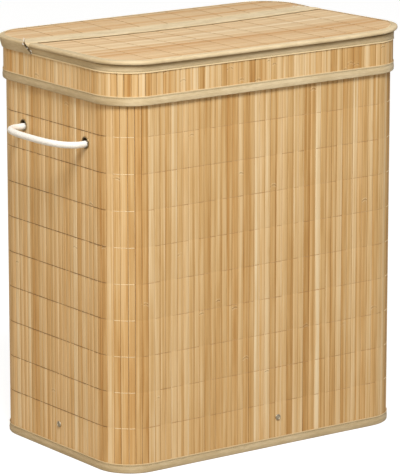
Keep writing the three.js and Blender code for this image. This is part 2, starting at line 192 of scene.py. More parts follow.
# The straight runs and arcs of a rounded rectangle, from the middle of the rear over the left and the front
def boxRuns(reachX, reachY, radius):
    arc = radius * math.pi / 2
    straightX, straightY = reachX - radius, reachY - radius
    return [straightX, arc, 2 * straightY, arc, 2 * straightX, arc, 2 * straightY, arc, straightX]


def boxLength(reachX, reachY, radius):
    return 4 * (reachX + reachY - 2 * radius) + 2 * math.pi * radius


# Point and outward direction at length s along a rounded rectangle
def aroundBox(s, reachX, reachY, radius):
    straightX, straightY = reachX - radius, reachY - radius
    runs = boxRuns(reachX, reachY, radius)
    s = s % sum(runs)
    headings = [math.pi / 2, math.pi, 1.5 * math.pi, 0, math.pi / 2]  # outward, on the straight runs
    starts = [(0, reachY), (-reachX, straightY), (-straightX, -reachY), (reachX, -straightY), (straightX, reachY)]
    centres = [(-straightX, straightY), (-straightX, -straightY), (straightX, -straightY), (straightX, straightY)]
    for k, run in enumerate(runs):
        if s <= run or k == len(runs) - 1:
            break
        s -= run
    if k % 2 == 0:
        angle = headings[k // 2]
        x, y = starts[k // 2]
        return x - math.sin(angle) * s, y + math.cos(angle) * s, math.cos(angle), math.sin(angle)
    angle = headings[k // 2] + s / radius
    x, y = centres[k // 2]
    return x + radius * math.cos(angle), y + radius * math.sin(angle), math.cos(angle), math.sin(angle)


# Lengths at which a sweep round the box has its sections, closer together in the corners
def boxStations(path, straightStep=12 * mm, arcSteps=14):
    stations = []
    start = 0
    for k, run in enumerate(boxRuns(*path)):
        steps = arcSteps if k % 2 else max(1, round(run / straightStep))
        stations += [start + run * i / steps for i in range(steps)]
        start += run
    return stations


# A line through corners, with its bends rounded
def fillet(corners, radii, steps=6):
    line = [np.array(corners[0], float)]
    for before, corner, after, radius in zip(corners, corners[1:], corners[2:], radii):
        before, corner, after = (np.array(p, float) for p in (before, corner, after))
        back, on = before - corner, after - corner
        backLength, onLength = np.linalg.norm(back), np.linalg.norm(on)
        back, on = back / backLength, on / onLength
        half = math.acos(np.clip(back @ on, -1, 1)) / 2
        cut = min(radius / math.tan(half), 0.49 * backLength, 0.49 * onLength)
        for i in range(steps + 1):
            t = i / steps
            line.append((1 - t) ** 2 * (corner + cut * back) + 2 * t * (1 - t) * corner + t * t * (corner + cut * on))
    line.append(np.array(corners[-1], float))
    return line


# The same line with no stretch longer than step
def refined(line, step):
    made = [np.array(line[0], float)]
    for a, b in zip(line, line[1:]):
        count = max(1, math.ceil(np.linalg.norm(b - a) / step))
        made += [a + (b - a) * i / count for i in range(1, count + 1)]
    return made


# Closed outline of a strip of cloth along a line, and the run of each of its points along the line
def ribbon(line, thickness):
    line = np.array(line)
    ahead = np.gradient(line, axis=0)
    ahead /= np.linalg.norm(ahead, axis=1)[:, None]
    side = np.stack([-ahead[:, 1], ahead[:, 0]], 1) * thickness / 2
    run = np.concatenate([[0], np.cumsum(np.linalg.norm(np.diff(line, axis=0), axis=1))])
    tipA = line[0] - ahead[0] * thickness * 0.35
    tipB = line[-1] + ahead[-1] * thickness * 0.35
    outline = np.concatenate([line + side, [tipB], (line - side)[::-1], [tipA]])
    return outline, np.concatenate([run, [run[-1]], run[::-1], [0]])


# The cut end of a ribbon with this many points in its line, as quads across its thickness
def ribbonCap(points, first):
    last = first + 2 * points
    across = [(first + i, first + i + 1, last - i - 1, last - i) for i in range(points - 1)]
    return across + [(first + points - 1, first + points, first + points + 1), (first, last, last + 1)]


# Sweeps an outline of (offset, z) round the box. Without stations it closes on itself. shift(s, run) moves a
# point outwards, ends(offset, z, s) moves it along, warp(x, y, z) has the last word. shade holds how much painted
# shade darkens the tape on the long sides and on the short ones, seam(s) how strong its painted groove shadow and
# ridge highlight are
def sweepBox(name, outline, run, material, path=wallPath, stations=None, shift=None, ends=None, warp=None,
             angle=50, shade=(0, 0), seam=None):
    closed = stations is None
    stations = stations or boxStations(path)
    points, uv = [], []
    values = {"tapeShade": [], "tapeSeam": []}
    for s in stations:
        for (offset, z), v in zip(outline, run):
            along = s + (ends(offset, z, s) if ends else 0)
            x, y, nx, ny = aroundBox(along, *path)
            out = offset + (shift(along, v) if shift else 0)
            points.append((x + nx * out, y + ny * out, z))
            uv.append((along, v))
            # painted shade, stronger on the short sides, and the strength of the painted seam shadow and highlight
            values["tapeShade"].append(shade[0] + (shade[1] - shade[0]) * smoothstep((abs(nx) - 0.3) / 0.6))
            values["tapeSeam"].append(seam(along) if seam else 1)
    if warp:
        points = [warp(*p) for p in points]
    faces = gridFaces(len(stations), len(outline), closed, True, caps=not closed)
    return makeMesh(name, points, faces, material, uv, values, angle)


# Turns (radius, outward) points about an axis through a wall, outward from the slats' face
def turned(name, profile, wall, along, z, material):
    sideX, sideY = outwards[wall]
    points, uv = [], []
    angles = circle(48)
    for angle in angles:
        for j, (radius, out) in enumerate(profile):
            a, b = radius * math.cos(angle), radius * math.sin(angle)
            x, y = (sideX * (halfX + out), along + a) if sideX else (along + a, sideY * (halfY + out))
            points.append((x, y, z + b))
            uv.append((angle * radius, j * mm))
    return makeMesh(name, points, gridFaces(len(angles), len(profile), True, True), material, uv, angle=45)


# Points of a tube's ring about its centre, square to the direction ahead
def ringAbout(centre, ahead, up, reaches):
    side = np.cross(ahead, up)
    side /= np.linalg.norm(side)
    top = np.cross(side, ahead)
    return [centre + r * (math.cos(a) * side + math.sin(a) * top) for a, r in zip(circle(len(reaches)), reaches)]


# Thread stitches, each a small capsule from one point to another, sunk a little at its ends
def stitchRow(name, places, radius, material):
    sides = 6
    capsule = ((0, 0.15, 1.2), (0.14, 0.85, 0.35), (0.5, 1, 0), (0.86, 0.85, 0.35), (1, 0.15, 1.2))
    points, faces = [], []
    for start, end, out in places:
        start, out = np.array(start), np.array(out)
        along = np.array(end) - start
        side = np.cross(along / np.linalg.norm(along), out)
        faces += gridFaces(len(capsule), sides, False, True, len(points), caps=True)
        for share, width, sunk in capsule:
            centre = start + along * share - out * radius * sunk
            points += [centre + radius * width * (math.cos(a) * side + math.sin(a) * out) for a in circle(sides)]
    return makeMesh(name, points, faces, material, angle=60)


# Places of a row of stitches round a path, at an offset and a height
def boxStitches(offset, z, pitch=3.4 * mm, length=2.5 * mm, path=wallPath, span=None, slope=0, seed=3):
    low, high = span or (0, boxLength(*path))
    draw = random.Random(seed)
    places = []
    for i in range(int((high - low) / pitch)):
        s = low + (i + 0.5) * pitch
        jitter = draw.uniform(-0.12, 0.12) * mm
        ends = []
        for t in (-length / 2, length / 2):
            x, y, nx, ny = aroundBox(s + t, *path)
            ends.append((x + nx * offset, y + ny * offset, z + jitter))
        nx, ny = aroundBox(s, *path)[2:]
        places.append((*ends, np.array([nx * math.cos(slope), ny * math.cos(slope), math.sin(slope)])))
    return places

# Shader parts
# A result of a shader node. Sums, differences and products of results make math nodes
class Result:
    def __init__(self, shader, socket):
        self.shader = shader
        self.socket = socket

    def __add__(self, other):
        return self.shader.math("ADD", self, other)

    def __sub__(self, other):
        return self.shader.math("SUBTRACT", self, other)

    def __mul__(self, other):
        return self.shader.math("MULTIPLY", self, other)

    def __abs__(self):
        return self.shader.math("ABSOLUTE", self)


# Short ways to add and join shader nodes in a material or a group
class Shader:
    def __init__(self, tree):
        self.tree = tree

    # Links each result to its socket, and sets a plain number or colour on the socket itself
    def put(self, sockets, values):
        for key, value in values.items():
            if isinstance(value, Result):
                self.tree.links.new(value.socket, sockets[key])
            else:
                sockets[key].default_value = value

    def add(self, kind, values=None, output=0, **settings):
        node = self.tree.nodes.new(kind)
        for key, value in settings.items():
            setattr(node, key, value)
        self.put(node.inputs, values or {})
        return Result(self, node.outputs[output])

    def math(self, operation, *values):
        return self.add("ShaderNodeMath", dict(enumerate(values)), operation=operation)

    def range(self, value, low, high, toLow=0.0, toHigh=1.0, smooth=True):
        kind = "SMOOTHSTEP" if smooth else "LINEAR"
        return self.add(
            "ShaderNodeMapRange", {0: value, 1: low, 2: high, 3: toLow, 4: toHigh}, interpolation_type=kind
        )

    def vector(self, x, y, z=0.0):
        return self.add("ShaderNodeCombineXYZ", {0: x, 1: y, 2: z})

    def noise(self, vector, detail=2.0):
        return self.add("ShaderNodeTexNoise", {"Vector": vector, "Scale": 1.0, "Detail": detail}, "Fac")

    def mix(self, factor, a, b, blend="MIX"):
        return self.add("ShaderNodeMix", {0: factor, 6: a, 7: b}, 2, data_type="RGBA", blend_type=blend)

    # The colour times a tint, for this share
    def tinted(self, colour, tint, share):
        return self.mix(share, colour, self.mix(1.0, colour, (*tint, 1), "MULTIPLY"))

    def ramp(self, factor, stops):
        result = self.add("ShaderNodeValToRGB", {0: factor})
        elements = result.socket.node.color_ramp.elements
        while len(elements) < len(stops):
            elements.new(0.5)
        for element, (place, *rgb) in zip(elements, stops):
            element.position = place
            element.color = linear(*rgb)
        return result

    def value(self, name):
        return self.add("ShaderNodeAttribute", output="Fac", attribute_name=name)

    # Along and across the piece, in metres
    def run(self):
        pair = self.add("ShaderNodeUVMap", uv_map="run")
        split = self.add("ShaderNodeSeparateXYZ", {0: pair}).socket.node.outputs
        return Result(self, split[0]), Result(self, split[1])

    # A noise fixed to the piece, finer where scale is larger
    def flecks(self, scale):
        place = self.add("ShaderNodeTexCoord", output="Object")
        return self.noise(self.add("ShaderNodeVectorMath", {0: place, 1: scale}, operation="MULTIPLY"), 3.0)

    def group(self, tree, **inputs):
        outputs = self.add("ShaderNodeGroup", inputs, node_tree=tree).socket.node.outputs
        return {output.name: Result(self, output) for output in outputs}

    def bump(self, height, strength, distance):
        return self.add("ShaderNodeBump", {"Height": height, "Strength": strength, "Distance": distance})


def newGroup(name, inputs, outputs):
    tree = bpy.data.node_groups.new(name, "ShaderNodeTree")
    for socket in inputs:
        tree.interface.new_socket(name=socket, in_out="INPUT", socket_type="NodeSocketFloat")
    for socket in outputs:
        tree.interface.new_socket(name=socket, in_out="OUTPUT", socket_type="NodeSocketFloat")
    shader = Shader(tree)
    source = tree.nodes.new("NodeGroupInput").outputs
    return shader, [Result(shader, source[socket]) for socket in inputs], tree.nodes.new("NodeGroupOutput").inputs


# Split bamboo: streaks and fibres along a slat, stains, and the mark of a joint in the cane
def makeBambooGroup():
    shader, (across, along, seed, edge, jointAt), sink = newGroup(
        "bambooGrain", ["Across", "Along", "Seed", "Edge", "JointAt"], ["Tone", "Blush", "Mark", "Pale", "Height"]
    )

    def layer(scaleAcross, scaleAlong, offset, detail=1.0):
        return shader.noise(shader.vector(across * scaleAcross, along * scaleAlong, seed * 37.0 + offset), detail)

    def between(noise, low, high, smooth=True):
        return shader.range(noise, low, high, -1, 1, smooth)

    wide = between(layer(260, 1.7, 0.0), 0.36, 0.64)
    narrow = between(layer(800, 4.5, 5.3, 2.0), 0.3, 0.7)
    fibres = between(layer(3600, 18, 9.1, 2.0), 0.25, 0.75, False)
    cloud = between(layer(170, 9, 2.7, 2.0), 0.3, 0.7)
    stain = shader.range(layer(150, 11, 7.7, 2.0), 0.66, 0.8)
    rim = shader.range(abs(edge), 0.86, 1.0)
    tone = wide * 0.1 + narrow * 0.075 + fibres * 0.045 + cloud * 0.075 + stain * -0.12 + rim * -0.12
    # the joint in the cane: a dark bowed line, a pale one beside it and on some slats a pair of spots
    at = jointAt + across * across * 90.0 + layer(500, 60, 3.1) * 0.0016
    near = abs(at)
    line = shader.range(near, 0.0002, 0.0011, 1, 0)
    broken = shader.range(layer(420, 90, 1.9), 0.4, 0.58)
    ring = shader.range(abs(near - 0.0019), 0.0003, 0.0011, 1, 0)
    aside = abs(across) - 0.0016
    spots = shader.range(aside * aside + at * at, 0.0000003, 0.0000016, 1, 0)
    few = shader.range(layer(0, 0, 6.3), 0.47, 0.53)
    shader.put(sink, {
        "Tone": tone,
        "Blush": shader.range(layer(120, 1.5, 4.4), 0.35, 0.68),
        "Mark": shader.math("MAXIMUM", line * broken, spots * few),
        "Pale": ring * broken,
        "Height": narrow * 0.5 + fibres * 0.4 + line * 1.6,
    })
    return shader.tree


# Plain weave: the height of crossing threads, and slow changes of tone
def makeWeaveGroup():
    shader, (along, across, threads, ribs), sink = newGroup(
        "plainWeave", ["Along", "Across", "Threads", "Ribs"], ["Height", "Slubs", "Cloud"]
    )
    warp = shader.math("SINE", along * threads * 6.2832)
    weft = shader.math("SINE", across * threads * 6.2832)
    slubs = shader.noise(shader.vector(along * 90.0, across * 1400.0))
    cloud = shader.noise(shader.vector(along * 22.0, across * 60.0))
    shader.put(sink, {
        "Height": weft * ribs + warp * weft,
        "Slubs": shader.range(slubs, 0.3, 0.7),
        "Cloud": shader.range(cloud, 0.3, 0.7),
    })
    return shader.tree


bambooGroup = makeBambooGroup()
weaveGroup = makeWeaveGroup()
materials = {}


# look(shader) gives what goes into the sockets of the material's surface
def makeMaterial(name, look):
    material = bpy.data.materials.new(name)
    material.use_nodes = True
    tree = material.node_tree
    tree.nodes.clear()
    surface = tree.nodes.new("ShaderNodeBsdfPrincipled")
    output = tree.nodes.new("ShaderNodeOutputMaterial")
    tree.links.new(surface.outputs[0], output.inputs[0])
    shader = Shader(tree)
    shader.put(surface.inputs, look(shader))
    materials[name] = material
    return material


# Lacquered slats: tones from brown to cream as (place, red, green, blue), a warmer tint, and the streaks' strength
bambooLooks = {
    "wallBamboo": {
        "tones": [
            (0, 150, 104, 54), (0.22, 190, 143, 82), (0.45, 212, 173, 116), (0.68, 228, 196, 147), (1, 244, 224, 186),
        ],
        "blush": (1.0, 0.93, 0.84),
        "gain": 1.0,
    },
    # paler and less streaked than the wall's: the same cane with painted sheen and top light
    "lidBamboo": {
        "tones": [
            (0, 180, 125, 70), (0.25, 200, 155, 102), (0.5, 213, 181, 137), (0.75, 228, 203, 162), (1, 240, 223, 192),
        ],
        "blush": (1.0, 0.93, 0.86),
        "gain": 0.9,
    },
}


def makeBamboo(name, tones, blush, gain):
    def look(shader):
        across, along = shader.run()
        grain = shader.group(
            bambooGroup, Across=across, Along=along, Seed=shader.value("slatSeed"), Edge=shader.value("slatEdge"),
            JointAt=shader.value("jointAt"),
        )
        tone = grain["Tone"] * gain + shader.value("slatTone")
        colour = shader.tinted(shader.ramp(tone, tones), blush, grain["Blush"] * shader.value("slatHue"))
        colour = shader.mix(grain["Pale"] * 0.35, colour, linear(242, 222, 184))
        colour = shader.mix(grain["Mark"] * 0.5, colour, linear(116, 82, 44))
        return {
            "Base Color": colour,
            "Roughness": shader.range(tone, 0.0, 1.0, 0.58, 0.44, False),
            "Specular IOR Level": 0.3,
            "Coat Weight": 0.05,
            "Coat Roughness": 0.35,
            "Normal": shader.bump(grain["Height"], 0.35, 0.0001),
        }

    makeMaterial(name, look)


# Cloth, tape and sewing thread. seam is the place of a sewn groove, measured over a tape from its edge. The groove gets
# painted shadow, the ridge at the tape's edge a painted highlight
clothLooks = {
    "bindingTape": {
        "light": (230, 210, 172), "dark": (207, 184, 142), "threads": 900, "ribs": 0.9, "rough": 0.82, "sheen": 0.15,
        "seam": 2.5 * mm,
    },
    "sewingThread": {"light": (236, 220, 182), "dark": (206, 186, 146), "threads": 3000},
    "whiteThread": {"light": (252, 250, 244), "dark": (226, 220, 208), "threads": 3000},
    "bagCotton": {"light": (240, 234, 220), "dark": (222, 213, 194), "threads": 1100, "rough": 0.9, "sheen": 0.25},
    "liningCloth": {"light": (226, 214, 186), "dark": (206, 192, 162), "threads": 800},
    "fastening": {
        "light": (236, 228, 206), "dark": (204, 194, 170), "threads": 600, "rough": 0.97, "sheen": 0.6, "depth": 1.0,
    },
}


def makeCloth(name, light, dark, threads, ribs=0.0, rough=0.85, sheen=0.2, depth=0.5, seam=0.0):
    def look(shader):
        along, across = shader.run()
        weave = shader.group(weaveGroup, Along=along, Across=across, Threads=threads, Ribs=ribs)
        tone = weave["Slubs"] * 0.45 + weave["Cloud"] * 0.4 + weave["Height"] * 0.12
        colour = shader.mix(shader.range(tone, 0.05, 0.8), linear(*dark), linear(*light))
        if seam:
            # painted shadow in the sewn groove
            seamShadow = shader.range(abs(across - seam), 0.0003, 0.0009, 0.7, 0) * shader.value("tapeSeam")
            colour = shader.tinted(colour, (0.56, 0.5, 0.4), seamShadow)
            # painted shade where less light falls on the tape: its short sides and under the lid's edge
            colour = shader.tinted(colour, (0.72, 0.68, 0.61), shader.value("tapeShade"))
            # painted highlight on the ridge at the tape's folded edge
            seamHighlight = shader.range(across, 0.0009, 0.0018, 0.75, 0) * shader.value("tapeSeam")
            colour = shader.mix(seamHighlight, colour, linear(242, 216, 168))
        return {
            "Base Color": colour,
            "Roughness": shader.range(weave["Slubs"], 0, 1, rough - 0.06, rough + 0.06),
            "Sheen Weight": sheen,
            "Sheen Roughness": 0.5,
            "Specular IOR Level": 0.25,
            "Normal": shader.bump(weave["Height"], depth, 0.00012),
        }

    makeMaterial(name, look)


# Plated steel with fine drawn lines and dull patches: its light and dark colour, roughness, how close the lines lie
# along each axis, and their depth
metalLooks = {
    "barSteel": [(196, 196, 194), (150, 150, 148), 0.3, (900, 900, 900), 0.1],
    "wireSteel": [(186, 186, 182), (134, 132, 128), 0.34, (60, 60, 2400), 0.1],
    "rivetSteel": [(226, 216, 194), (168, 158, 138), 0.46, (500, 500, 500), 0.15],
    "eyeletSteel": [(204, 184, 148), (150, 128, 92), 0.3, (300, 300, 300), 0.08],
}


def makeMetal(name, values):
    light, dark, rough, grain, depth = values

    def look(shader):
        lines = shader.flecks(grain)
        patches = shader.flecks((90, 90, 90))
        colour = shader.mix(shader.range(patches, 0.35, 0.65), linear(*dark), linear(*light))
        return {
            "Base Color": shader.mix(shader.range(lines, 0.3, 0.7, 0, 0.35), colour, linear(*dark)),
            "Roughness": shader.range(patches, 0.3, 0.7, rough, rough + 0.16),
            "Metallic": 1.0,
            "Normal": shader.bump(lines, depth, 0.00005),
        }

    makeMaterial(name, look)


# Pressed fibreboard: short pale and dark fibres in every direction
def boardLook(shader):
    fine = shader.flecks((700, 160, 400))
    other = shader.flecks((150, 650, 400))
    tone = fine * 0.45 + other * 0.4 + shader.flecks((14, 17, 14)) * 0.3
    colour = shader.mix(shader.range(tone, 0.42, 0.74), linear(150, 116, 76), linear(188, 154, 110))
    return {
        "Base Color": shader.mix(shader.range(fine, 0.68, 0.8, 0, 0.5), colour, linear(120, 88, 56)),
        "Roughness": shader.range(other, 0.3, 0.7, 0.68, 0.86),
        "Normal": shader.bump(fine + other, 0.3, 0.0001),
    }


# Binding thread. Its tone is stored on the piece: dark brown, honey or cream, where the dark brown and the cream are
# partly painted shadow and painted light
def threadLook(shader):
    along, across = shader.run()
    ply = shader.math("SINE", along * 4200.0 + across * 2600.0)
    colour = shader.ramp(shader.value("threadTone"), [(0, 108, 72, 30), (0.5, 188, 144, 90), (1, 250, 228, 186)])
    return {
        "Base Color": shader.tinted(colour, (0.6, 0.55, 0.5), shader.range(ply, -1, 0.4, 0.3, 0)),
        "Roughness": shader.range(ply, -1, 1, 0.8, 0.66),
        "Normal": shader.bump(ply, 0.4, 0.00008),
    }


# White braided cotton cord: a fine slanted braid, nearly closed
def ropeLook(shader):
    along, across = shader.run()
    left = shader.math("SINE", along * 1500.0 + across * 1684.0)
    right = shader.math("SINE", along * 1500.0 - across * 1684.0)
    fuzz = shader.noise(shader.vector(along * 260.0, across * 1500.0), 3.0)
    tone = left * right * 0.14 + fuzz
    return {
        "Base Color": shader.mix(shader.range(tone, 0.28, 0.66), linear(232, 227, 216), linear(253, 251, 247)),
        "Roughness": shader.range(fuzz, 0.3, 0.7, 0.72, 0.86),
        "Sheen Weight": 0.25,
        "Normal": shader.bump(tone, 0.35, 0.0003),
    }


for name, look in bambooLooks.items():
    makeBamboo(name, **look)
for name, look in clothLooks.items():
    makeCloth(name, **look)
for name, look in metalLooks.items():
    makeMetal(name, look)
makeMaterial("fibreboard", boardLook)
makeMaterial("matThread", threadLook)
makeMaterial("cottonRope", ropeLook)
print("materials made")

def dress(piece, slot, body, *replaced):
    if replaced:
        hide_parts(*replaced)
    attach(piece, body)
    return piece


# Slats
slatStyle = {
    "pitch": 10 * mm,
    "widthVariation": 0.1,
    "gap": 0.26 * mm,
    "gapVariation": 0.2 * mm,
    "crown": 0.16 * mm,
    "edge": 0.35 * mm,
    "thicknessVariation": 0.16 * mm,
    "tilt": 0.012,
    "tone": (0.52, 0.1),  # the middle one, and how far it spreads
    "sideTone": 0.06,  # painted light: slats on the short sides made lighter
    "sway": 0.15 * mm,
    "jointShare": 0.27,  # of the slats with a cane joint in sight
    "rowDent": 0.22 * mm,  # under each row of thread
    "rowWidth": 1.1 * mm,
}


# Outline of a slat, as (across, height, edge)
def slatSection(width, thickness):
    h, e, c = width / 2, slatStyle["edge"], slatStyle["crown"]
    half = [
        (h - e, 0, 1),
        (h, e * 0.7, 1),
        (h, thickness - e - c, 1),
        (h - e * 0.35, thickness - e * 0.35 - c, 0.96),
        (h - e * 1.4, thickness - c * 0.7, 0.84),
        (h * 0.45, thickness - c * 0.12, 0.45),
    ]
    other = [(-across, height, -edge) for across, height, edge in reversed(half)]
    return other[-1:] + half + other[:-1]


# What differs from slat to slat
def drawSlat(draw, side=False):
    middle, spread = slatStyle["tone"]
    return {
        "thickness": thick - draw.uniform(0, slatStyle["thicknessVariation"]),
        "tilt": draw.uniform(-1, 1) * slatStyle["tilt"],
        "tone": min(0.9, max(0.12, draw.gauss(middle + (slatStyle["sideTone"] if side else 0), spread))),
        # on the short sides the warm tint is stronger: painted warm light
        "hue": 0.6 + 0.9 * draw.uniform(0, 1) if side else draw.uniform(0, 1),
        "seed": draw.uniform(0, 20),
        "slip": draw.uniform(0, 5),
        "sway": draw.uniform(-1, 1) * slatStyle["sway"],
        "phase": draw.uniform(0, 6.28),
    }


# Levels with closer ones about each row of thread
def aboutRows(rows):
    return [row + d * mm for row in sorted(rows) for d in (-2.4, -0.9, 0, 0.9, 2.4)]


# The slats of one mat, collected into one piece
class SlatMat:
    def __init__(self, total, seed):
        self.draw = random.Random(seed)
        count = round(total / slatStyle["pitch"])
        shares = [1 + self.draw.uniform(-1, 1) * slatStyle["widthVariation"] for _ in range(count)]
        self.widths = [total * share / sum(shares) for share in shares]
        self.points, self.faces, self.uv = [], [], []
        self.values = {key: [] for key in ("slatTone", "slatHue", "slatSeed", "slatEdge", "jointAt")}

    # place(across, height, level) puts a point of the slat into the scene, cut makes its holes. low and high bound
    # the place of a joint in the cane, measured along this axis
    def add(self, width, gapShare, look, levels, rows, place, axis, low, high, cut=None):
        gap = slatStyle["gap"] * gapShare + self.draw.uniform(-1, 1) * slatStyle["gapVariation"]
        width -= gap
        joint = self.draw.uniform(low, high) if self.draw.random() < slatStyle["jointShare"] else high + 1
        section = slatSection(width, look["thickness"])
        points, uv, edges = [], [], []
        for level in levels:
            dent = sum(math.exp(-(((level - row) / slatStyle["rowWidth"]) ** 2)) for row in rows) * slatStyle["rowDent"]
            sway = look["sway"] * math.sin(level * 11 + look["phase"])
            for across, height, edge in section:
                out = height - (dent if height > look["thickness"] / 2 else 0) + across * look["tilt"] * (height > 0)
                points.append(place(across + sway, out, level))
                uv.append((across, level + look["slip"]))
                edges.append(edge)
        faces = gridFaces(len(levels), len(section), False, True, caps=True)
        if cut:
            points, faces, uv, edges = cut(points, faces, width / 2, look)
        first = len(self.points)
        self.points += points
        self.faces += [tuple(first + i for i in face) for face in faces]
        self.uv += uv
        self.values["slatEdge"] += edges
        self.values["jointAt"] += [p[axis] - joint for p in points]
        for key, value in (("slatTone", "tone"), ("slatHue", "hue"), ("slatSeed", "seed")):
            self.values[key] += [look[value]] * len(points)

    def make(self, name, material, body, node):
        piece = makeMesh(name, self.points, self.faces, materials[material], self.uv, self.values, angle=32)
        dress(piece, "bamboo_slats", body, node)


# Upright slats round the path of their inner face. Returns the place, width and look of each
def slatWall(name, path, levels, rows, seed, body, node, holes=()):
    mat = SlatMat(boxLength(*path), seed)
    centres = []
    s = 0
    for width in mat.widths:
        middle = s + width / 2
        s += width
        x, y, nx, ny = aroundBox(middle, *path)
        look = drawSlat(mat.draw, abs(nx) > 0.8)

        def acrossAt(px, py):
            return (py - y) * nx - (px - x) * ny

        def place(across, height, level):
            return (x - ny * across + nx * height, y + nx * across + ny * height, level)

        def cut(points, faces, half, look):
            slat = makeMesh("slatToCut", points, faces)
            mesh = bored(slat, near, 20 * mm)
            bpy.data.objects.remove(slat)
            points = [tuple(v.co) for v in mesh.vertices]
            across = [acrossAt(p[0], p[1]) for p in points]
            return (
                points,
                [tuple(p.vertices) for p in mesh.polygons],
                [(a, p[2] + look["slip"]) for a, p in zip(across, points)],
                [max(-1, min(1, a / half)) for a in across],
            )

        near = [
            hole for hole in holes
            if abs(acrossAt(*hole[0][:2])) < hole[2] + width / 2
            and abs((hole[0][0] - x) * nx + (hole[0][1] - y) * ny) < 15 * mm  # in this wall, not in the one across
        ]
        mat.add(width, 1, look, levels, rows, place, 2, levels[0], levels[-1], cut if near else None)
        centres.append((middle, width, look))
    mat.make(name, "wallBamboo", body, node)
    return centres


threadStyle = {
    "dips": ((-0.5, 0.75 * mm), (-0.4, 0.08 * mm), (-0.2, 0), (0.2, 0), (0.4, 0.08 * mm)),  # over a slat, by its width
    "wallRadius": 0.42 * mm,
    "wallLift": 0.12 * mm,
    "wander": 0.15 * mm,
    "jointShade": 0.3,
    "lidRadius": 0.36 * mm,
    "lidLift": 0.06 * mm,
}


# Rows of thread. Each is a list of a centre, the direction away from the slats' middle, a run and a tone
def makeThreads(name, rows, radius, closed, body):
    sides = 6
    points, faces, uv, tones = [], [], [], []
    for row in rows:
        faces += gridFaces(len(row), sides, closed, True, len(points), caps=not closed)
        for centre, out, run, tone in row:
            for a in circle(sides):
                across = radius * math.cos(a)
                x, y = (middle + share * across for middle, share in zip(centre, out))
                points.append((x, y, centre[2] + radius * math.sin(a)))
                uv.append((run, a * radius))
                tones.append(tone)
    piece = makeMesh(name, points, faces, materials["matThread"], uv, {"threadTone": tones}, angle=70)
    dress(piece, "bamboo_slats", body)


# The camera comes first, with the ropes that the view has to hold
viewpoint = {
    "place": (-2.93636, -4.05311, 1.44690),
    "yaw": 0.62717,
    "pitch": 0.22783,
    "focalPixels": 3448.9,
    "pictureHeight": 476,
    "sensor": 36.0,
}


def makeCamera():
    data = bpy.data.cameras.new("view")
    data.sensor_fit = "AUTO"
    data.sensor_width = viewpoint["sensor"]
    data.lens = viewpoint["focalPixels"] * viewpoint["sensor"] / viewpoint["pictureHeight"]
    data.clip_end = 60
    camera = bpy.data.objects.new("view", data)
    camera.location = viewpoint["place"]
    camera.rotation_euler = (math.pi / 2 - viewpoint["pitch"], 0, -viewpoint["yaw"])
    bpy.context.collection.objects.link(camera)
    bpy.context.scene.camera = camera


makeCamera()

# Rope handles: one cord each, from knot to knot through the two eyelets
ropeStyle = {
    "diameter": 9.5 * mm,
    "reach": 43 * mm,
    "lift": 1.6 * mm,  # of the bow's middle over its ends
    "pivotOut": 6.65 * mm,
    "spacing": 160 * mm,
    "inside": 10.9 * mm,  # how far the rope runs in behind the slats' face
    "widthPower": 0.7,
    "reachPower": 0.87,
    "steps": 60,
    "knotMiddle": 14.9 * mm,
    "knotDepth": 4.16 * mm,
    "knotSize": 1.95 * mm,
    "knotRope": 0.45,  # its radius in the knot, by the diameter
}


def ropePath(side):
    style = ropeStyle
    pivotX = side * (halfX + style["pivotOut"])
    half, z = style["spacing"] / 2, layout["ropeZ"]
    bow = []
    for i in range(style["steps"] + 1):
        turn = math.pi * i / style["steps"]
        across = math.copysign(abs(math.cos(turn)) ** style["widthPower"], math.cos(turn))
        out = abs(math.sin(turn)) ** style["reachPower"]
        x = pivotX + side * (style["reach"] - style["pivotOut"]) * out
        bow.append((x, half * across, z + style["lift"] * out ** 2))
    inner = side * (halfX - style["inside"])
    steps = [inner + (pivotX - inner) * i / 6 for i in range(6)]
    return [(x, half, z) for x in steps] + bow + [(x, -half, z) for x in reversed(steps)]


def makeRopeHandle(wall):
    side = outwards[wall][0]
    path = ropePath(side)
    radius = ropeStyle["diameter"] / 2
    centres = np.array(path)
    ahead = np.gradient(centres, axis=0)
    ahead /= np.linalg.norm(ahead, axis=1)[:, None]
    runs = np.concatenate([[0], np.cumsum(np.linalg.norm(np.diff(centres, axis=0), axis=1))])
    length = float(runs[-1])
    angles = circle(28)
    points, uv = [], []
    for centre, towards, run in zip(centres, ahead, runs):
        lay = [1 + 0.018 * math.cos(3 * a + run * 260) + 0.008 * math.cos(9 * a - run * 700) for a in angles]
        points += ringAbout(centre, towards, upwards, [radius * share for share in lay])
        uv += [(run, a * radius) for a in angles]
    faces = gridFaces(len(path), len(angles), False, True, caps=True)
    piece = makeMesh(f"{wall}HandleRope", points, faces, materials["cottonRope"], uv, angle=80)
    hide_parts(f"{wall}_handle_rope")
    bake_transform(piece)
    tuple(path[0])
    print(wall, "rope, metres long:", round(length, 4))


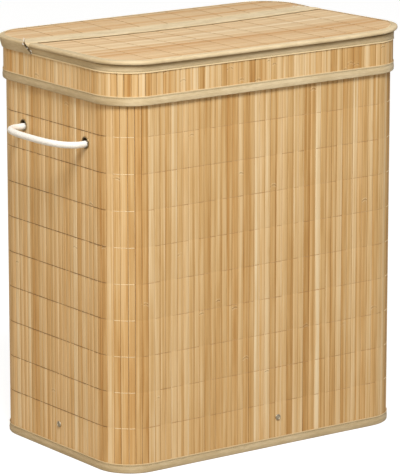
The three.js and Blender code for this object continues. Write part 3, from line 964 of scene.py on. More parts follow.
# A plain overhand knot: one lumpy turn of rope round another
def makeKnot(wall, end, y):
    side = outwards[wall][0]
    hub = np.array([side * (halfX - ropeStyle["knotMiddle"]), y, layout["ropeZ"]])
    size, depth = ropeStyle["knotSize"], ropeStyle["knotDepth"]
    turns, angles = circle(72), circle(18)
    centres = hub + np.array([(
        -side * depth * math.sin(3 * t),
        (math.sin(t) + 2 * math.sin(2 * t)) * size,
        (math.cos(t) - 2 * math.cos(2 * t)) * size,
    ) for t in turns])
    ahead = np.roll(centres, -1, 0) - np.roll(centres, 1, 0)
    ahead /= np.linalg.norm(ahead, axis=1)[:, None]
    points, uv = [], []
    for i, (centre, towards) in enumerate(zip(centres, ahead)):
        reach = ropeStyle["diameter"] * ropeStyle["knotRope"]
        points += ringAbout(centre, towards, centre - hub, [reach] * len(angles))
        uv += [(i * 2.2 * mm, a * ropeStyle["diameter"] / 2) for a in angles]
    faces = gridFaces(len(turns), len(angles), True, True)
    piece = makeMesh(f"{wall}_{end}RopeKnot", points, faces, materials["cottonRope"], uv, angle=80)
    dress(piece, "cotton_rope", "hamper", f"{wall}_{end}_rope_knot")


eyelets = [
    (wall, end, side * layout["eyeletY"])
    for wall in ("left", "right") for end, side in (("rear", 1), ("front", -1))
]
for wall in ("left", "right"):
    makeRopeHandle(wall)
for wall, end, y in eyelets:
    makeKnot(wall, end, y)
print("ropes made")

# Eyelets and rivets, turned from profiles of (radius, outwards from the slats' face) in millimetres
eyeletStyle = {
    "flange": ((8, 0.3), (1, 1)),
    "barrel": [(7, -4.3), (7.2, -4.6), (8.6, -4.6), (8.8, -4.3), (8.6, -4), (7.6, -4), (7.6, 0.3)],
    "hole": 7.9 * mm,
}
rivetStyle = {
    "shank": [(0.02, -6.6), (2.8, -6.5), (3.4, -6), (3.3, -5.6), (2.2, -5.6), (2.2, 0.3), (4.4, 0.3)],
    "head": ((3.2, 0.4), (1.3, 1.2)),
    "dimple": [(2.7, 1.54), (2.4, 1.1), (1.9, 1.15), (1, 1.45), (0.02, 1.55)],
    "hole": 2.5 * mm,
    "places": {"left": layout["longY"], "right": layout["longY"], "front": layout["crossX"], "rear": layout["crossX"]},
}


def inMm(points):
    return [tuple(c * mm for c in point) for point in points]


# Part of an ellipse, by its centre and radii
def arcPoints(ellipse, start, end, steps):
    centre, radii = ellipse
    angles = [start + (end - start) * i / steps for i in range(steps + 1)]
    return [(centre[0] + radii[0] * math.cos(a), centre[1] + radii[1] * math.sin(a)) for a in angles]


def holeIn(wall, along, z, radius):
    sideX, sideY = outwards[wall]
    centre = (sideX * halfX, along, z) if sideX else (along, sideY * halfY, z)
    return centre, (sideX, sideY, 0), radius


holes = []
for wall, end, y in eyelets:
    profile = inMm(arcPoints(eyeletStyle["flange"], 0, math.pi, 16) + eyeletStyle["barrel"])
    piece = turned(f"{wall}_{end}Eyelet", profile, wall, y, layout["eyeletZ"], materials["eyeletSteel"])
    dress(piece, "eyelet_metal", "hamper", f"{wall}_{end}_eyelet")
    holes.append(holeIn(wall, y, layout["eyeletZ"], eyeletStyle["hole"]))
for wall, along in rivetStyle["places"].items():
    head = arcPoints(rivetStyle["head"], -0.1, math.pi / 2, 8)
    profile = inMm(rivetStyle["shank"] + head + rivetStyle["dimple"])
    piece = turned(f"{wall}WallRivet", profile, wall, along, layout["rivetZ"], materials["rivetSteel"])
    dress(piece, "steel_rivet", "hamper", f"{wall}_wall_rivet")
    holes.append(holeIn(wall, along, layout["rivetZ"], rivetStyle["hole"]))
print("eyelets and rivets made")

# The wall: slats, their thread rows and the cloth behind them
wallBase = (halfX - thick, halfY - thick, cornerRadius - thick)
wallLevels = [wallBottom, wallBottom + 0.5 * mm, *aboutRows(threadHeights), wallTop - 0.5 * mm, wallTop]
wallCentres = slatWall("wallSlats", wallBase, wallLevels, threadHeights, 11, "hamper", "wall_mat", holes)


# How deep the thread lies on a slat, and its tone: brown and near whole on the ends, sunk in places on the front
# and rear, cream on two corner slats. The ends' dark brown is partly painted shadow, the corners' cream partly painted
# light
def threadOnWall(nx, ny, draw):
    if abs(nx) > 0.93:
        return draw.choice([0, 0, 0, 0, 0.1 * mm, 0.3 * mm]), draw.uniform(0.0, 0.2)
    if abs(ny) > 0.98:
        return draw.choice([0.1 * mm, 0.2 * mm, 0.35 * mm, 0.8 * mm]), draw.uniform(0.42, 0.6)
    if 0.52 < abs(nx) < 0.83:
        return 0.0, 1.0
    return 0.55 * mm, 0.5


def wallThreadRow(z, draw):
    row = []
    for middle, width, look in wallCentres:
        x, y, nx, ny = aroundBox(middle, *wallBase)
        sunk, tone = threadOnWall(nx, ny, draw)
        height = look["thickness"] - slatStyle["rowDent"] + threadStyle["wallLift"] - sunk
        wander = draw.uniform(-1, 1) * threadStyle["wander"]
        for share, dip in threadStyle["dips"]:
            across, out = share * width, height - dip
            centre = (x - ny * across + nx * out, y + nx * across + ny * out, z + wander * (1 - 2 * abs(share)))
            shade = threadStyle["jointShade"] if share == -0.5 else 0
            row.append((centre, (nx, ny), middle + across, max(0, tone - shade)))
    return row


draw = random.Random(5)
makeThreads("wallThreads", [wallThreadRow(z, draw) for z in threadHeights], threadStyle["wallRadius"], True, "hamper")


# A plain ring round the box between two offsets and two heights
def ringBox(name, inner, outer, low, high, material, r):
    outline = [
        (outer, low + r), (outer, high - r), (outer - r, high), (inner + r, high),
        (inner, high - r), (inner, low + r), (inner + r, low), (outer - r, low),
    ]
    tall = high - low
    return sweepBox(name, outline, [0, tall, tall, tall, tall, 0, 0, 0], materials[material], angle=40)


# Offsets are measured outwards from the slats' face
insideStyle = {
    "lining": (-2.6 * mm, -2.1 * mm),
    "loopStrip": (-4.1 * mm, -2.9 * mm),
    "hoopRadius": 1.5 * mm,
    "wallHoops": -4.4 * mm,
    "collarHoop": (0.4 * mm, 591.4 * mm),  # its offset and height
}
lining = ringBox("wallLining", *insideStyle["lining"], wallBottom, wallTop, "liningCloth", 0.1 * mm)
lining.data = bored(lining, holes, 12 * mm)
dress(lining, "lining_cloth", "hamper", "wall_lining")


# A sewn-in wire
def hoop(name, offset, z, node, body, path=wallPath, centreX=0.0):
    angles = circle(12)
    radius = insideStyle["hoopRadius"]
    outline = [(offset + radius * math.cos(a), z + radius * math.sin(a)) for a in angles]
    piece = sweepBox(
        name, outline, [a * radius for a in angles], materials["wireSteel"], path,
        warp=lambda x, y, z: (x + centreX, y, z), angle=80,
    )
    dress(piece, "steel_wire", body, node)


hoop("rimHoop", insideStyle["wallHoops"], wallTop - insideStyle["hoopRadius"], "rim_hoop", "hamper")
hoop("baseHoop", insideStyle["wallHoops"], wallBottom + insideStyle["hoopRadius"], "base_hoop", "hamper")
hoop("collarHoop", *insideStyle["collarHoop"], "collar_hoop", "lid")
loop = ringBox("rimLoopStrip", *insideStyle["loopStrip"], stripLow, stripHigh, "fastening", 0.15 * mm)
dress(loop, "hook_and_loop", "hamper", "rim_loop_strip")
print("wall made")

# Binding tapes
tapeStyle = {
    "thickness": 0.6 * mm,
    "pucker": 0.16 * mm,
    "seamWidth": 2.2 * mm,
    "stitchRadius": 0.2 * mm,
    "rimStitchRadius": 0.15 * mm,
    "collarDepth": 13.6 * mm,  # of the tape on the collar's lower edge
    "swell": 1.1 * mm,
}


# Small pulls where the seam draws the tape in
def tapeShift(seed, stitchRun):
    slow = Ripple(seed, [0.31, 0.17, 0.093])
    quick = Ripple(seed + 1, [0.021, 0.0137])

    def shift(s, v):
        pull = math.exp(-(((v - stitchRun) / tapeStyle["seamWidth"]) ** 2))
        return tapeStyle["pucker"] * (0.35 * slow(s) + 0.65 * quick(s) * (1 - pull) - 1.2 * pull)

    return shift


# A tape folded along the corners of its section, given as (outwards, height). seamRun is the seam's place on it, shade
# its painted shade on the long sides and on the short ones
def edgeTape(name, node, body, corners, bends, seamRun, seed, shade, warp=None):
    outline, run = ribbon(fillet(corners, [bend * mm for bend in bends]), tapeStyle["thickness"])
    piece = sweepBox(
        name, outline, run, materials["bindingTape"], shift=tapeShift(seed, seamRun * mm), warp=warp, shade=shade
    )
    dress(piece, "binding_tape", body, node)


def sewn(name, body, places, radius=tapeStyle["stitchRadius"], thread="sewingThread", slot="binding_tape"):
    dress(stitchRow(name, places, radius, materials[thread]), slot, body)


edgeTape(
    "baseTape", "base_tape", "hamper",
    [
        (1.15 * mm, baseTapeTop), (0.65 * mm, baseTapeTop - 3 * mm), (1.3 * mm, baseTapeTop - 8 * mm),
        (0.9 * mm, 0.3 * mm), (-6.5 * mm, 0.3 * mm), (-6.4 * mm, baseTapeTop - 2 * mm), (-3.6 * mm, baseTapeTop),
    ],
    (1, 4, 2.2, 2.2, 2), 2.8, 21, (0.45, 0.8),
)
sewn("baseTapeStitches", "hamper", boxStitches(1 * mm, baseTapeTop - 2.8 * mm))

# over the wall's upper edge and under the lid
edgeTape(
    "rimTape", "rim_tape", "hamper",
    [
        (0.6 * mm, rimLow), (0.6 * mm, rimTop - 0.3 * mm), (-6.5 * mm, rimTop - 0.3 * mm),
        (-6.45 * mm, rimLow + 4 * mm), (-3.2 * mm, rimLow),
    ],
    (1.6, 2.2, 2), 2.4, 23, (0.2, 0.6),
)
sewn("rimTapeStitches", "hamper", boxStitches(0.95 * mm, rimLow + 2.4 * mm, seed=4), tapeStyle["rimStitchRadius"])

# The lid's collar
matGap = 0.9 * mm  # between a panel's slats and the outside of its tape
collarOut = 2.2 * mm  # from the wall's face to the inner face of the collar's slats
slatWall(
    "collarSlats", tuple(reach + collarOut for reach in wallPath),
    [
        collarLow + matGap, collarLow + 12 * mm, (collarLow + collarHigh) / 2, collarHigh - 8 * mm,
        collarHigh - matGap,
    ],
    [], 31, "lid", "collar_mat",
)
lowTapeTop = collarLow + tapeStyle["collarDepth"]
edgeTape(
    "collarBottomTape", "collar_bottom_tape", "lid",
    [
        (4.95 * mm, lowTapeTop), (4.5 * mm, lowTapeTop - 3 * mm), (5 * mm, lowTapeTop - 7.5 * mm),
        (4.7 * mm, collarLow + 0.3 * mm), (1.6 * mm, collarLow + 0.3 * mm), (1.6 * mm, lowTapeTop),
    ],
    (1, 4, 1.5, 1.5), 2.8, 33, (0, 0.9),
)
sewn("collarBottomStitches", "lid", boxStitches(4.85 * mm, lowTapeTop - 2.8 * mm, seed=6))
topTapeLow = heights("collar_mat")[1] + matGap - 10.3 * mm


# The collar's upper edge swells towards the flap's raised front corners
def swollen(x, y, z):
    high = smoothstep((z - topTapeLow - 3 * mm) / (collarHigh - topTapeLow - 3 * mm))
    front = max(0, (hingeY - y) / (hingeY + halfY))
    return (x, y, z + tapeStyle["swell"] * high * front * (x / halfX) ** 4)


# its shade paints the shadow that the lid's edge casts on its front
edgeTape(
    "collarTopTape", "collar_top_tape", "lid",
    [
        (4.9 * mm, topTapeLow), (4.5 * mm, topTapeLow + 2.5 * mm), (4.7 * mm, collarHigh - 0.35 * mm),
        (-1.7 * mm, collarHigh - 0.35 * mm), (-1.7 * mm, collarHigh - 3.9 * mm),
    ],
    (1, 1.8, 1.4), 2.4, 35, (0.45, 0.3), swollen,
)
sewn("collarTopStitches", "lid", boxStitches(4.85 * mm, topTapeLow + 2.4 * mm, seed=8))
print("tapes and collar made")

# The lid's top: it sags a little in the middle at the fold, and the flap's front stands a little high
lidStyle = {
    "sag": 3.4 * mm,
    "sagSpread": 80 * mm,
    "sagSpreadRear": 62 * mm,
    "rise": (0.6 * mm, 1.6 * mm, 2.4 * mm),  # of the flap's front edge: all along, at both corners, at the right one
    "tapeInner": 2 * mm,
    "gapShare": 0.8,  # of the wall's gap between slats
    "threadPitch": 51 * mm,
    "threadRows": 9,
    "threadMiddle": 8.3 * mm,
    "threadTones": (0.22, 0.38),
    "board": (595 * mm, 597 * mm),
    "boardRows": 40,
    "boardColumns": 33,
}
lidSlatsLow = lidTop - matGap - thick
lidThreadPlaces = [
    (i - (lidStyle["threadRows"] - 1) / 2) * lidStyle["threadPitch"] + lidStyle["threadMiddle"]
    for i in range(lidStyle["threadRows"])
]


def lidWarp(x, y, z):
    spread = lidStyle["sagSpreadRear"] if y > hingeY else lidStyle["sagSpread"]
    sag = lidStyle["sag"] * max(0, 1 - (x / halfX) ** 2) * math.exp(-(((y - hingeY) / spread) ** 2))
    level, corners, right = lidStyle["rise"]
    lift = level + corners * (x / halfX) ** 4 + right * max(0, x / halfX) ** 4
    rise = lift * max(0, (hingeY - y) / (hingeY + halfY + lidReach))
    return (x, y, z - sag + rise)


# How far in X the box reaches at y, with its outline pushed outwards by offset
def cornerEnd(y, offset):
    radius = cornerRadius + offset
    over = abs(y) - (halfY - cornerRadius)
    if over <= 0:
        return halfX + offset
    if over >= radius:
        return halfX - cornerRadius
    return halfX - cornerRadius + math.sqrt(radius * radius - over * over)


# The rear strip stops short of the lid's edge beside the slit
slitHollow = {"rear": 68 * mm, "depth": 11 * mm}


def hollowAt(y, node):
    return slitHollow["depth"] if node.startswith("rear_panel") and y < slitHollow["rear"] else 0


# Slats that run along X from one Y to another, cut to the lid's outline under its edge tape. Returns the place,
# width, look and reach of each
def lidSlats(name, fromY, toY, edgeOffset, node, body, seed):
    mat = SlatMat(toY - fromY, seed)
    places = aboutRows(lidThreadPlaces) + [row + lidStyle["threadPitch"] / 2 for row in lidThreadPlaces]
    centres = []
    y = fromY
    for width in mat.widths:
        middle = y + width / 2
        hollow = hollowAt(y, node)
        reach = min(cornerEnd(y, edgeOffset), cornerEnd(y + width, edgeOffset)) - hollow
        y += width
        look = drawSlat(mat.draw)

        def place(across, height, level):
            if abs(level) == reach:
                level = math.copysign(cornerEnd(middle + across, edgeOffset) - hollow, level)
            return lidWarp(level, middle + across, lidSlatsLow + height)

        levels = sorted([-reach, reach] + [x for x in places if abs(x) < reach - mm])
        mat.add(width, lidStyle["gapShare"], look, levels, lidThreadPlaces, place, 0, -reach, reach)
        centres.append((middle, width, look, reach))
    mat.make(name, "lidBamboo", body, node)
    return centres


def lidThreads(name, centres, body, seed):
    draw = random.Random(seed)
    rows = []
    for x in lidThreadPlaces:
        rows.append([])
        for middle, width, look, reach in centres:
            if abs(x) > reach - 2 * mm:
                continue
            sunk = draw.choice([0, 0, 0, 0.08 * mm])
            tone = draw.uniform(*lidStyle["threadTones"])
            height = look["thickness"] - slatStyle["rowDent"] + threadStyle["lidLift"] - sunk
            for share, dip in threadStyle["dips"]:
                centre = lidWarp(x, middle + share * width, lidSlatsLow + height - dip)
                rows[-1].append((centre, (1, 0), centre[1], tone))
    makeThreads(name, rows, threadStyle["lidRadius"], False, body)


rearInset = lidReach - 2.4 * mm  # how far the lid's slats reach past the wall, inside the tape
flapInset = lidReach - 1.4 * mm
rearCentres = lidSlats("rearPanelSlats", hingeY + 0.9 * mm, halfY + rearInset, rearInset, "rear_panel_mat", "lid", 41)
flapCentres = lidSlats("flapSlats", -halfY - flapInset, hingeY - 1.2 * mm, flapInset, "flap_mat", "flap", 43)
lidThreads("rearPanelThreads", rearCentres, "lid", 45)
lidThreads("flapThreads", flapCentres, "flap", 47)


# The stiff board under the slats, in rows across X so that it follows the sag
def lidBoard(name, fromY, toY, edgeOffset, node, body):
    low, high = lidStyle["board"]
    rows, columns = lidStyle["boardRows"], lidStyle["boardColumns"]
    flat = []
    for i in range(rows + 1):
        y = fromY + (toY - fromY) * i / rows
        reach = max(cornerEnd(y, edgeOffset), 1 * mm) - hollowAt(y, node)
        flat += [(reach * (2 * j / (columns - 1) - 1), y) for j in range(columns)]
    points = [lidWarp(x, y, z) for z in (high, low) for x, y in flat]
    count = len(flat)
    faces = gridFaces(rows + 1, columns) + gridFaces(rows + 1, columns, first=count)
    rim = [*range(columns), *range(2 * columns - 1, count, columns)]
    rim += [*range(count - 2, rows * columns - 1, -1), *range((rows - 1) * columns, 0, -columns)]
    faces += [(a, b, b + count, a + count) for a, b in zip(rim, rim[1:] + rim[:1])]
    piece = makeMesh(name, points, faces, materials["fibreboard"], flat * 2, angle=40)
    dress(piece, "fibreboard", body, node)


lidBoard(
    "rearPanelBoard", hingeY + 1.5 * mm, halfY + rearInset - 0.7 * mm, rearInset - 0.6 * mm, "rear_panel_board", "lid"
)
lidBoard("flapBoard", -halfY - flapInset + 0.2 * mm, hingeY - 1.8 * mm, flapInset, "flap_board", "flap")

# The lid's edge: a soft roll round the flap, and a slanted band from the rear strip down to the collar.
# The band's ends follow a slit that runs inwards and back on top, and down and forward at the side.
slit = {
    "heights": [580 * mm, 586 * mm, 592 * mm, 598 * mm, 601 * mm],
    "places": [47 * mm, 48.4 * mm, 49.8 * mm, 62.5 * mm, 64.5 * mm],
    "slope": 1.33,  # of the slit on top: so far back for each step inwards
    "gap": 2 * mm,
    "lens": (584.5 * mm, 600 * mm, 6 * mm),  # the slit gapes between these heights, by so much at most
    "spread": 46 * mm,
    "flapEnd": 51.5 * mm,
}
edgeStyle = {
    "fold": 3 * mm,  # of the tape's top that stays at the rim where the tape is narrow
    # widths of the tape on top, by the length along the path from the middle of the rear over the left
    "runs": [0, 203, 245, 288, 508, 550, 593, 999, 1040, 1066, 1084, 1304, 1600],
    "widths": [2.6, 2.6, 7, 13, 14.5, 14, 12, 12, 12, 8, 3.2, 2.6, 2.6],
    "stitchPitch": 3.6 * mm,
    "stitchLength": 2.6 * mm,
    "stitchInset": 2.4 * mm,  # of the stitches from the tape's inner edge
}
lidLength = boxLength(*wallPath)
leftRunStart = halfX - cornerRadius + cornerRadius * math.pi / 2  # where the left wall's straight run begins


def slitY(z):
    return float(np.interp(z, slit["heights"], slit["places"]))


def leftRun(y):
    return leftRunStart + (halfY - cornerRadius) - y


# Width of the tape on top, in millimetres, at a length along the path
def tapeWidth(s):
    return float(np.interp((s % lidLength) / mm, edgeStyle["runs"], edgeStyle["widths"]))


edgeStations = boxStations(wallPath, 6 * mm, 22)
flapFrom = leftRun(slit["flapEnd"])
flapTo = lidLength - flapFrom
flapRun = [flapFrom] + [s for s in edgeStations if flapFrom + 2 * mm < s < flapTo - 2 * mm] + [flapTo]
rearLeft = leftRun(slitY(lidTop) + slit["gap"] / 2)
rearFrom = lidLength - rearLeft
rearTo = lidLength + rearLeft
rearRun = [rearFrom] + [s for s in edgeStations if s > rearFrom + 2 * mm]
rearRun += [lidLength + s for s in edgeStations if s < rearLeft - 2 * mm] + [rearTo]


# Slants the band's two ends along the slit
def rearEnds(offset, z, s):
    inward = max(0, lidReach - 2 * mm - offset) if z > lidTop - 2 * mm else 0
    low, high, most = slit["lens"]
    gape = most * math.sin(math.pi * min(1, max(0, (z - low) / (high - low))))
    lean = slitY(lidTop) - slitY(z) - slit["slope"] * inward - gape
    atRight = 1 - smoothstep((s - rearFrom) / slit["spread"])
    atLeft = 1 - smoothstep((rearTo - s) / slit["spread"])
    return float(lean * atLeft - lean * atRight)


# The lid's edge tape, its top part narrowed along the right and the rear
def lidEdge(name, node, body, side, bends, seed, stations, ends=None):
    top = [(-lidStyle["tapeInner"], lidTop - 0.4 * mm), (3 * mm, lidTop - 0.25 * mm)]
    line = fillet(top + side, [bend * mm for bend in bends])
    outline, run = ribbon(refined(line, 2.5 * mm), tapeStyle["thickness"])
    soft = tapeShift(seed, 2.2 * mm)
    full = lidReach + lidStyle["tapeInner"] - edgeStyle["fold"]

    def shift(s, v):
        keep = max(0.06, (tapeWidth(s) * mm - edgeStyle["fold"]) / full)
        return soft(s, v) + max(0, full - v) * (1 - keep)

    # strength of the painted groove shadow and ridge highlight: none where the tape's top is narrow
    def seam(s):
        return smoothstep((tapeWidth(s) - 8) / 4)

    # shade: painted shade on the short sides
    piece = sweepBox(
        name, outline, run, materials["bindingTape"], shift=shift, warp=lidWarp, stations=stations, ends=ends,
        shade=(0, 0.6), seam=seam,
    )
    dress(piece, "binding_tape", body, node)


lidEdge(
    "flapEdgeRoll", "flap_edge_tape", "flap",
    [
        (lidReach - 0.3 * mm, lidTop - 0.5 * mm), (lidReach - 0.2 * mm, lidUnder + 0.3 * mm),
        (lidReach - 9 * mm, lidUnder + 0.3 * mm),
    ],
    (3, 2.6, 2.6), 51, flapRun,
)
lidEdge(
    "rearEdgeBand", "rear_edge_tape", "lid",
    [
        (lidReach - 0.6 * mm, lidTop - 0.5 * mm), (lidReach - 1.4 * mm, lidTop - 6 * mm),
        (5.6 * mm, topTapeLow - 0.2 * mm),
    ],
    (3, 2.2, 8), 53, rearRun, rearEnds,
)


# A row of stitches just inside the tape's inner edge
def lidEdgeStitches(name, low, high, body, seed):
    pitch = edgeStyle["stitchPitch"]
    row = boxStitches(0, lidTop, pitch, edgeStyle["stitchLength"], span=(low, high), slope=math.pi / 2, seed=seed)
    places = []
    for i, (start, end, out) in enumerate(row):
        s = low + (i + 0.5) * pitch
        nx, ny = aroundBox(s, *wallPath)[2:]
        reach = lidReach - max(tapeWidth(s) * mm - edgeStyle["stitchInset"], 1.2 * mm)
        places.append((*(lidWarp(x + nx * reach, y + ny * reach, z) for x, y, z in (start, end)), out))
    sewn(name, body, places)


lidEdgeStitches("flapEdgeStitches", flapFrom + 4 * mm, flapTo - 4 * mm, "flap", 9)
lidEdgeStitches("rearEdgeStitches", rearFrom + 24 * mm, rearTo - 24 * mm, "lid", 10)

# The hinge: one band of cloth across the lid, creased along the fold. Its ends ride over the lid's edge
# and hang there as small tabs.
hingeStyle = {
    "cloth": 0.48 * mm,
    "lift": 0.45 * mm,
    "crease": 2.2 * mm,
    "flapLap": 3.2 * mm,
    "columns": 120,
    "spacing": 0.94,  # of its columns: above 0 they lie closer together at the ends
    "ragged": 0.35 * mm,  # how much its long edges wander
    "edgeRadius": 2.6 * mm,
    "bindingLap": 9 * mm,  # of the tape under the panels' edges at the fold
    "bindingHeights": (594.4 * mm, 598.4 * mm),
    "bindingSteps": 40,
    "bindingInset": 3 * mm,
    "seamInset": 2.6 * mm,
    "seamLift": 0.7 * mm,
    "seamEnds": 14 * mm,
    # how far the cloth reaches past the start of the edge's rounding, by its place across the fold
    "places": [48.6 * mm, 52 * mm, 62.5 * mm, 85 * mm],
    "reaches": [5.6 * mm, 5.8 * mm, 0.6 * mm, -15 * mm],
}
lidFlat = halfX + lidReach - hingeStyle["edgeRadius"]  # where the rounding of the lid's edge begins


# Area of one face of a thin piece
def clothArea(piece):
    return sum(polygon.area for polygon in piece.data.polygons) / 2


# A point of cloth on the lid: so far along X over its surface, and down over its edge
def overLid(along, height):
    radius = hingeStyle["edgeRadius"]
    over = abs(along) - lidFlat
    side = math.copysign(1, along)
    if over <= 0:
        return along, lidTop + height
    arc = radius * math.pi / 2
    if over < arc:
        turn = over / radius
        x = side * (lidFlat + (radius + height) * math.sin(turn))
        return x, lidTop - radius + (radius + height) * math.cos(turn)
    return side * (lidFlat + radius + height), lidTop - radius - (over - arc)


def makeHingeCloth():
    lift, columns, spacing = hingeStyle["lift"], hingeStyle["columns"], hingeStyle["spacing"] * math.pi / 2
    corners = [
        (bandRear + 0.6 * mm, lift - 0.25 * mm), (bandRear - 3 * mm, lift - 0.2 * mm), (hingeY + 3 * mm, lift),
        (hingeY + 0.45 * mm, lift - 0.4 * mm), (hingeY, lift - hingeStyle["crease"]),
        (hingeY - 0.45 * mm, lift - 0.4 * mm), (hingeY - hingeStyle["flapLap"], lift - 0.25 * mm),
    ]
    line = refined(fillet(corners, [6 * mm, 4 * mm, 0.8 * mm, 0.25 * mm, 0.8 * mm], 5), 3 * mm)
    outline, run = ribbon(line, hingeStyle["cloth"])
    bend = Ripple(61, [0.13, 0.071, 0.043])
    points, uv = [], []
    for i in range(columns + 1):
        share = math.sin(spacing * (2 * i / columns - 1)) / math.sin(spacing)
        edge = hingeStyle["ragged"] * bend(share * halfX) * (1 - share ** 4)
        for (y, height), v in zip(outline, run):
            y += edge * min(1, abs(y - hingeY) / (10 * mm))
            along = share * (lidFlat + float(np.interp(y, hingeStyle["places"], hingeStyle["reaches"])))
            x, z = overLid(along, height)
            points.append(lidWarp(x, y, z))
            uv.append((along, v))
    faces = gridFaces(columns + 1, len(outline), False, True)
    faces += ribbonCap(len(line), 0) + ribbonCap(len(line), columns * len(outline))
    piece = makeMesh("hingeCloth", points, faces, materials["bindingTape"], uv, angle=50)
    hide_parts("hinge_band", "flap_hinge_tape")
    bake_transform(piece)
    float(max(run))
    2 * (lidFlat + max(hingeStyle["reaches"]))


# Tape round a panel's straight edge at the fold, under the hinge cloth
def hingeBinding(name, towards, body):
    fold, steps = hingeY + towards * mm, hingeStyle["bindingSteps"]
    low, high = hingeStyle["bindingHeights"]
    line = fillet([(fold + towards * hingeStyle["bindingLap"], low), (fold, low), (fold, high)], [0.8 * mm], 5)
    outline, run = ribbon(line, hingeStyle["cloth"])
    points, uv = [], []
    for i in range(steps + 1):
        x = (halfX - hingeStyle["bindingInset"]) * (2 * i / steps - 1)
        points += [lidWarp(x, y, z) for y, z in outline]
        uv += [(x, v) for v in run]
    faces = gridFaces(steps + 1, len(outline), False, True, caps=True)
    piece = makeMesh(name, points, faces, materials["bindingTape"], uv, angle=50)
    dress(piece, "binding_tape", body)


def hingeStitches():
    draw = random.Random(71)
    places = []
    y, z, far = bandRear - hingeStyle["seamInset"], lidTop + hingeStyle["seamLift"], halfX - hingeStyle["seamEnds"]
    x = -far
    while x < far:
        end = lidWarp(x + edgeStyle["stitchLength"], y + draw.uniform(-0.1, 0.1) * mm, z)
        places.append((lidWarp(x, y, z), end, (0, 0, 1)))
        x += edgeStyle["stitchPitch"]
    sewn("hingeBandStitches", "lid", places)


makeHingeCloth()
hingeBinding("rearFoldBinding", 1, "lid")
hingeBinding("flapFoldBinding", -1, "flap")
hingeStitches()

# Short white stitches that hold the cloth's ends beside the slit, in millimetres. On top and at the side they go
# from one length over the lid and place across the fold to another, on the collar from height and place
tackStyle = {
    "top": [(-19.5, 95, -16, 91.5), (-16, 88, -12, 85), (-9, 79.4, -5.6, 76.2), (-5, 72, -2, 69.4)],
    "side": [(3.2, 66.5, 3.4, 63.2), (4.4, 64.6, 4.6, 61.4), (8.5, 54.4, 8.3, 51.2)],
    "collar": [(590.4, 49.8, 589.6, 46.4), (588.6, 49.4, 588.2, 46), (586.6, 49.2, 586, 46.2)],
    "radius": 0.5 * mm,
    "collarFace": (584, 5.9, 0.3),  # at this height so far outside the wall, and more by this slope above
}


def slitTacks():
    draw = random.Random(73)
    places = []
    for side in (-1, 1):
        for overA, yA, overB, yB in tackStyle["top"] + tackStyle["side"]:
            ends = []
            for over, y in ((overA, yA), (overB, yB)):
                x, z = overLid(side * (lidFlat + over * mm), (0.2 if over < 0 else 0.75) * mm)
                ends.append(lidWarp(x, (y + draw.uniform(-0.3, 0.3)) * mm, z))
            places.append((*ends, (0, 0, 1) if overA < 0 else (side, 0, 0)))
        for zA, yA, zB, yB in tackStyle["collar"]:
            foot, out, slope = tackStyle["collarFace"]
            ends = [
                (side * (halfX + (out + (z - foot) * slope) * mm), y * mm, z * mm)
                for z, y in ((zA, yA), (zB, yB))
            ]
            places.append((*ends, (side, 0, 0)))
    sewn("slitTacks", "lid", places, tackStyle["radius"], "whiteThread")


slitTacks()
print("lid made")

# Bags
bagStyle = {
    "gap": 4 * mm,
    "hemOuter": -5.9 * mm,
    "hem": 26 * mm,
    "endInset": 24 * mm,
    "sideInset": 9 * mm,
    "middleInset": 4 * mm,
    "clothInset": 1.4 * mm,
    "shoulder": 46 * mm,
    "cloth": 0.8 * mm,
    "fold": 2.2 * mm,
    "steps": 168,
    "rings": 26,  # between its neck and its bottom
    "standing": 2.4 * mm,  # of the wall's lower end over the CAD bag's
    "hemWave": 0.5 * mm,
    "seams": (3 * mm, 5.5 * mm),  # over the hem's lower edge
    "hoopInset": 2.4 * mm,
    "hookStrip": (-4.4 * mm, -5.6 * mm),  # its two faces, outwards from the slats' face
    # rings of the bottom, from its edge inwards: how wide, and how high over the board
    "bottom": [
        (0.985, 2.2 * mm), (0.95, 0.5 * mm), (0.86, 0.15 * mm), (0.7, 0.4 * mm), (0.5, 0.1 * mm), (0.3, 0.5 * mm),
        (0.12, 0.2 * mm),
    ],
}
mouthHalfX = (halfX * 2 + 2 * bagStyle["hemOuter"] - bagStyle["gap"]) / 4
mouthCentre = bagStyle["gap"] / 2 + mouthHalfX
mouth = (mouthHalfX, halfY + bagStyle["hemOuter"], cornerRadius + bagStyle["hemOuter"])


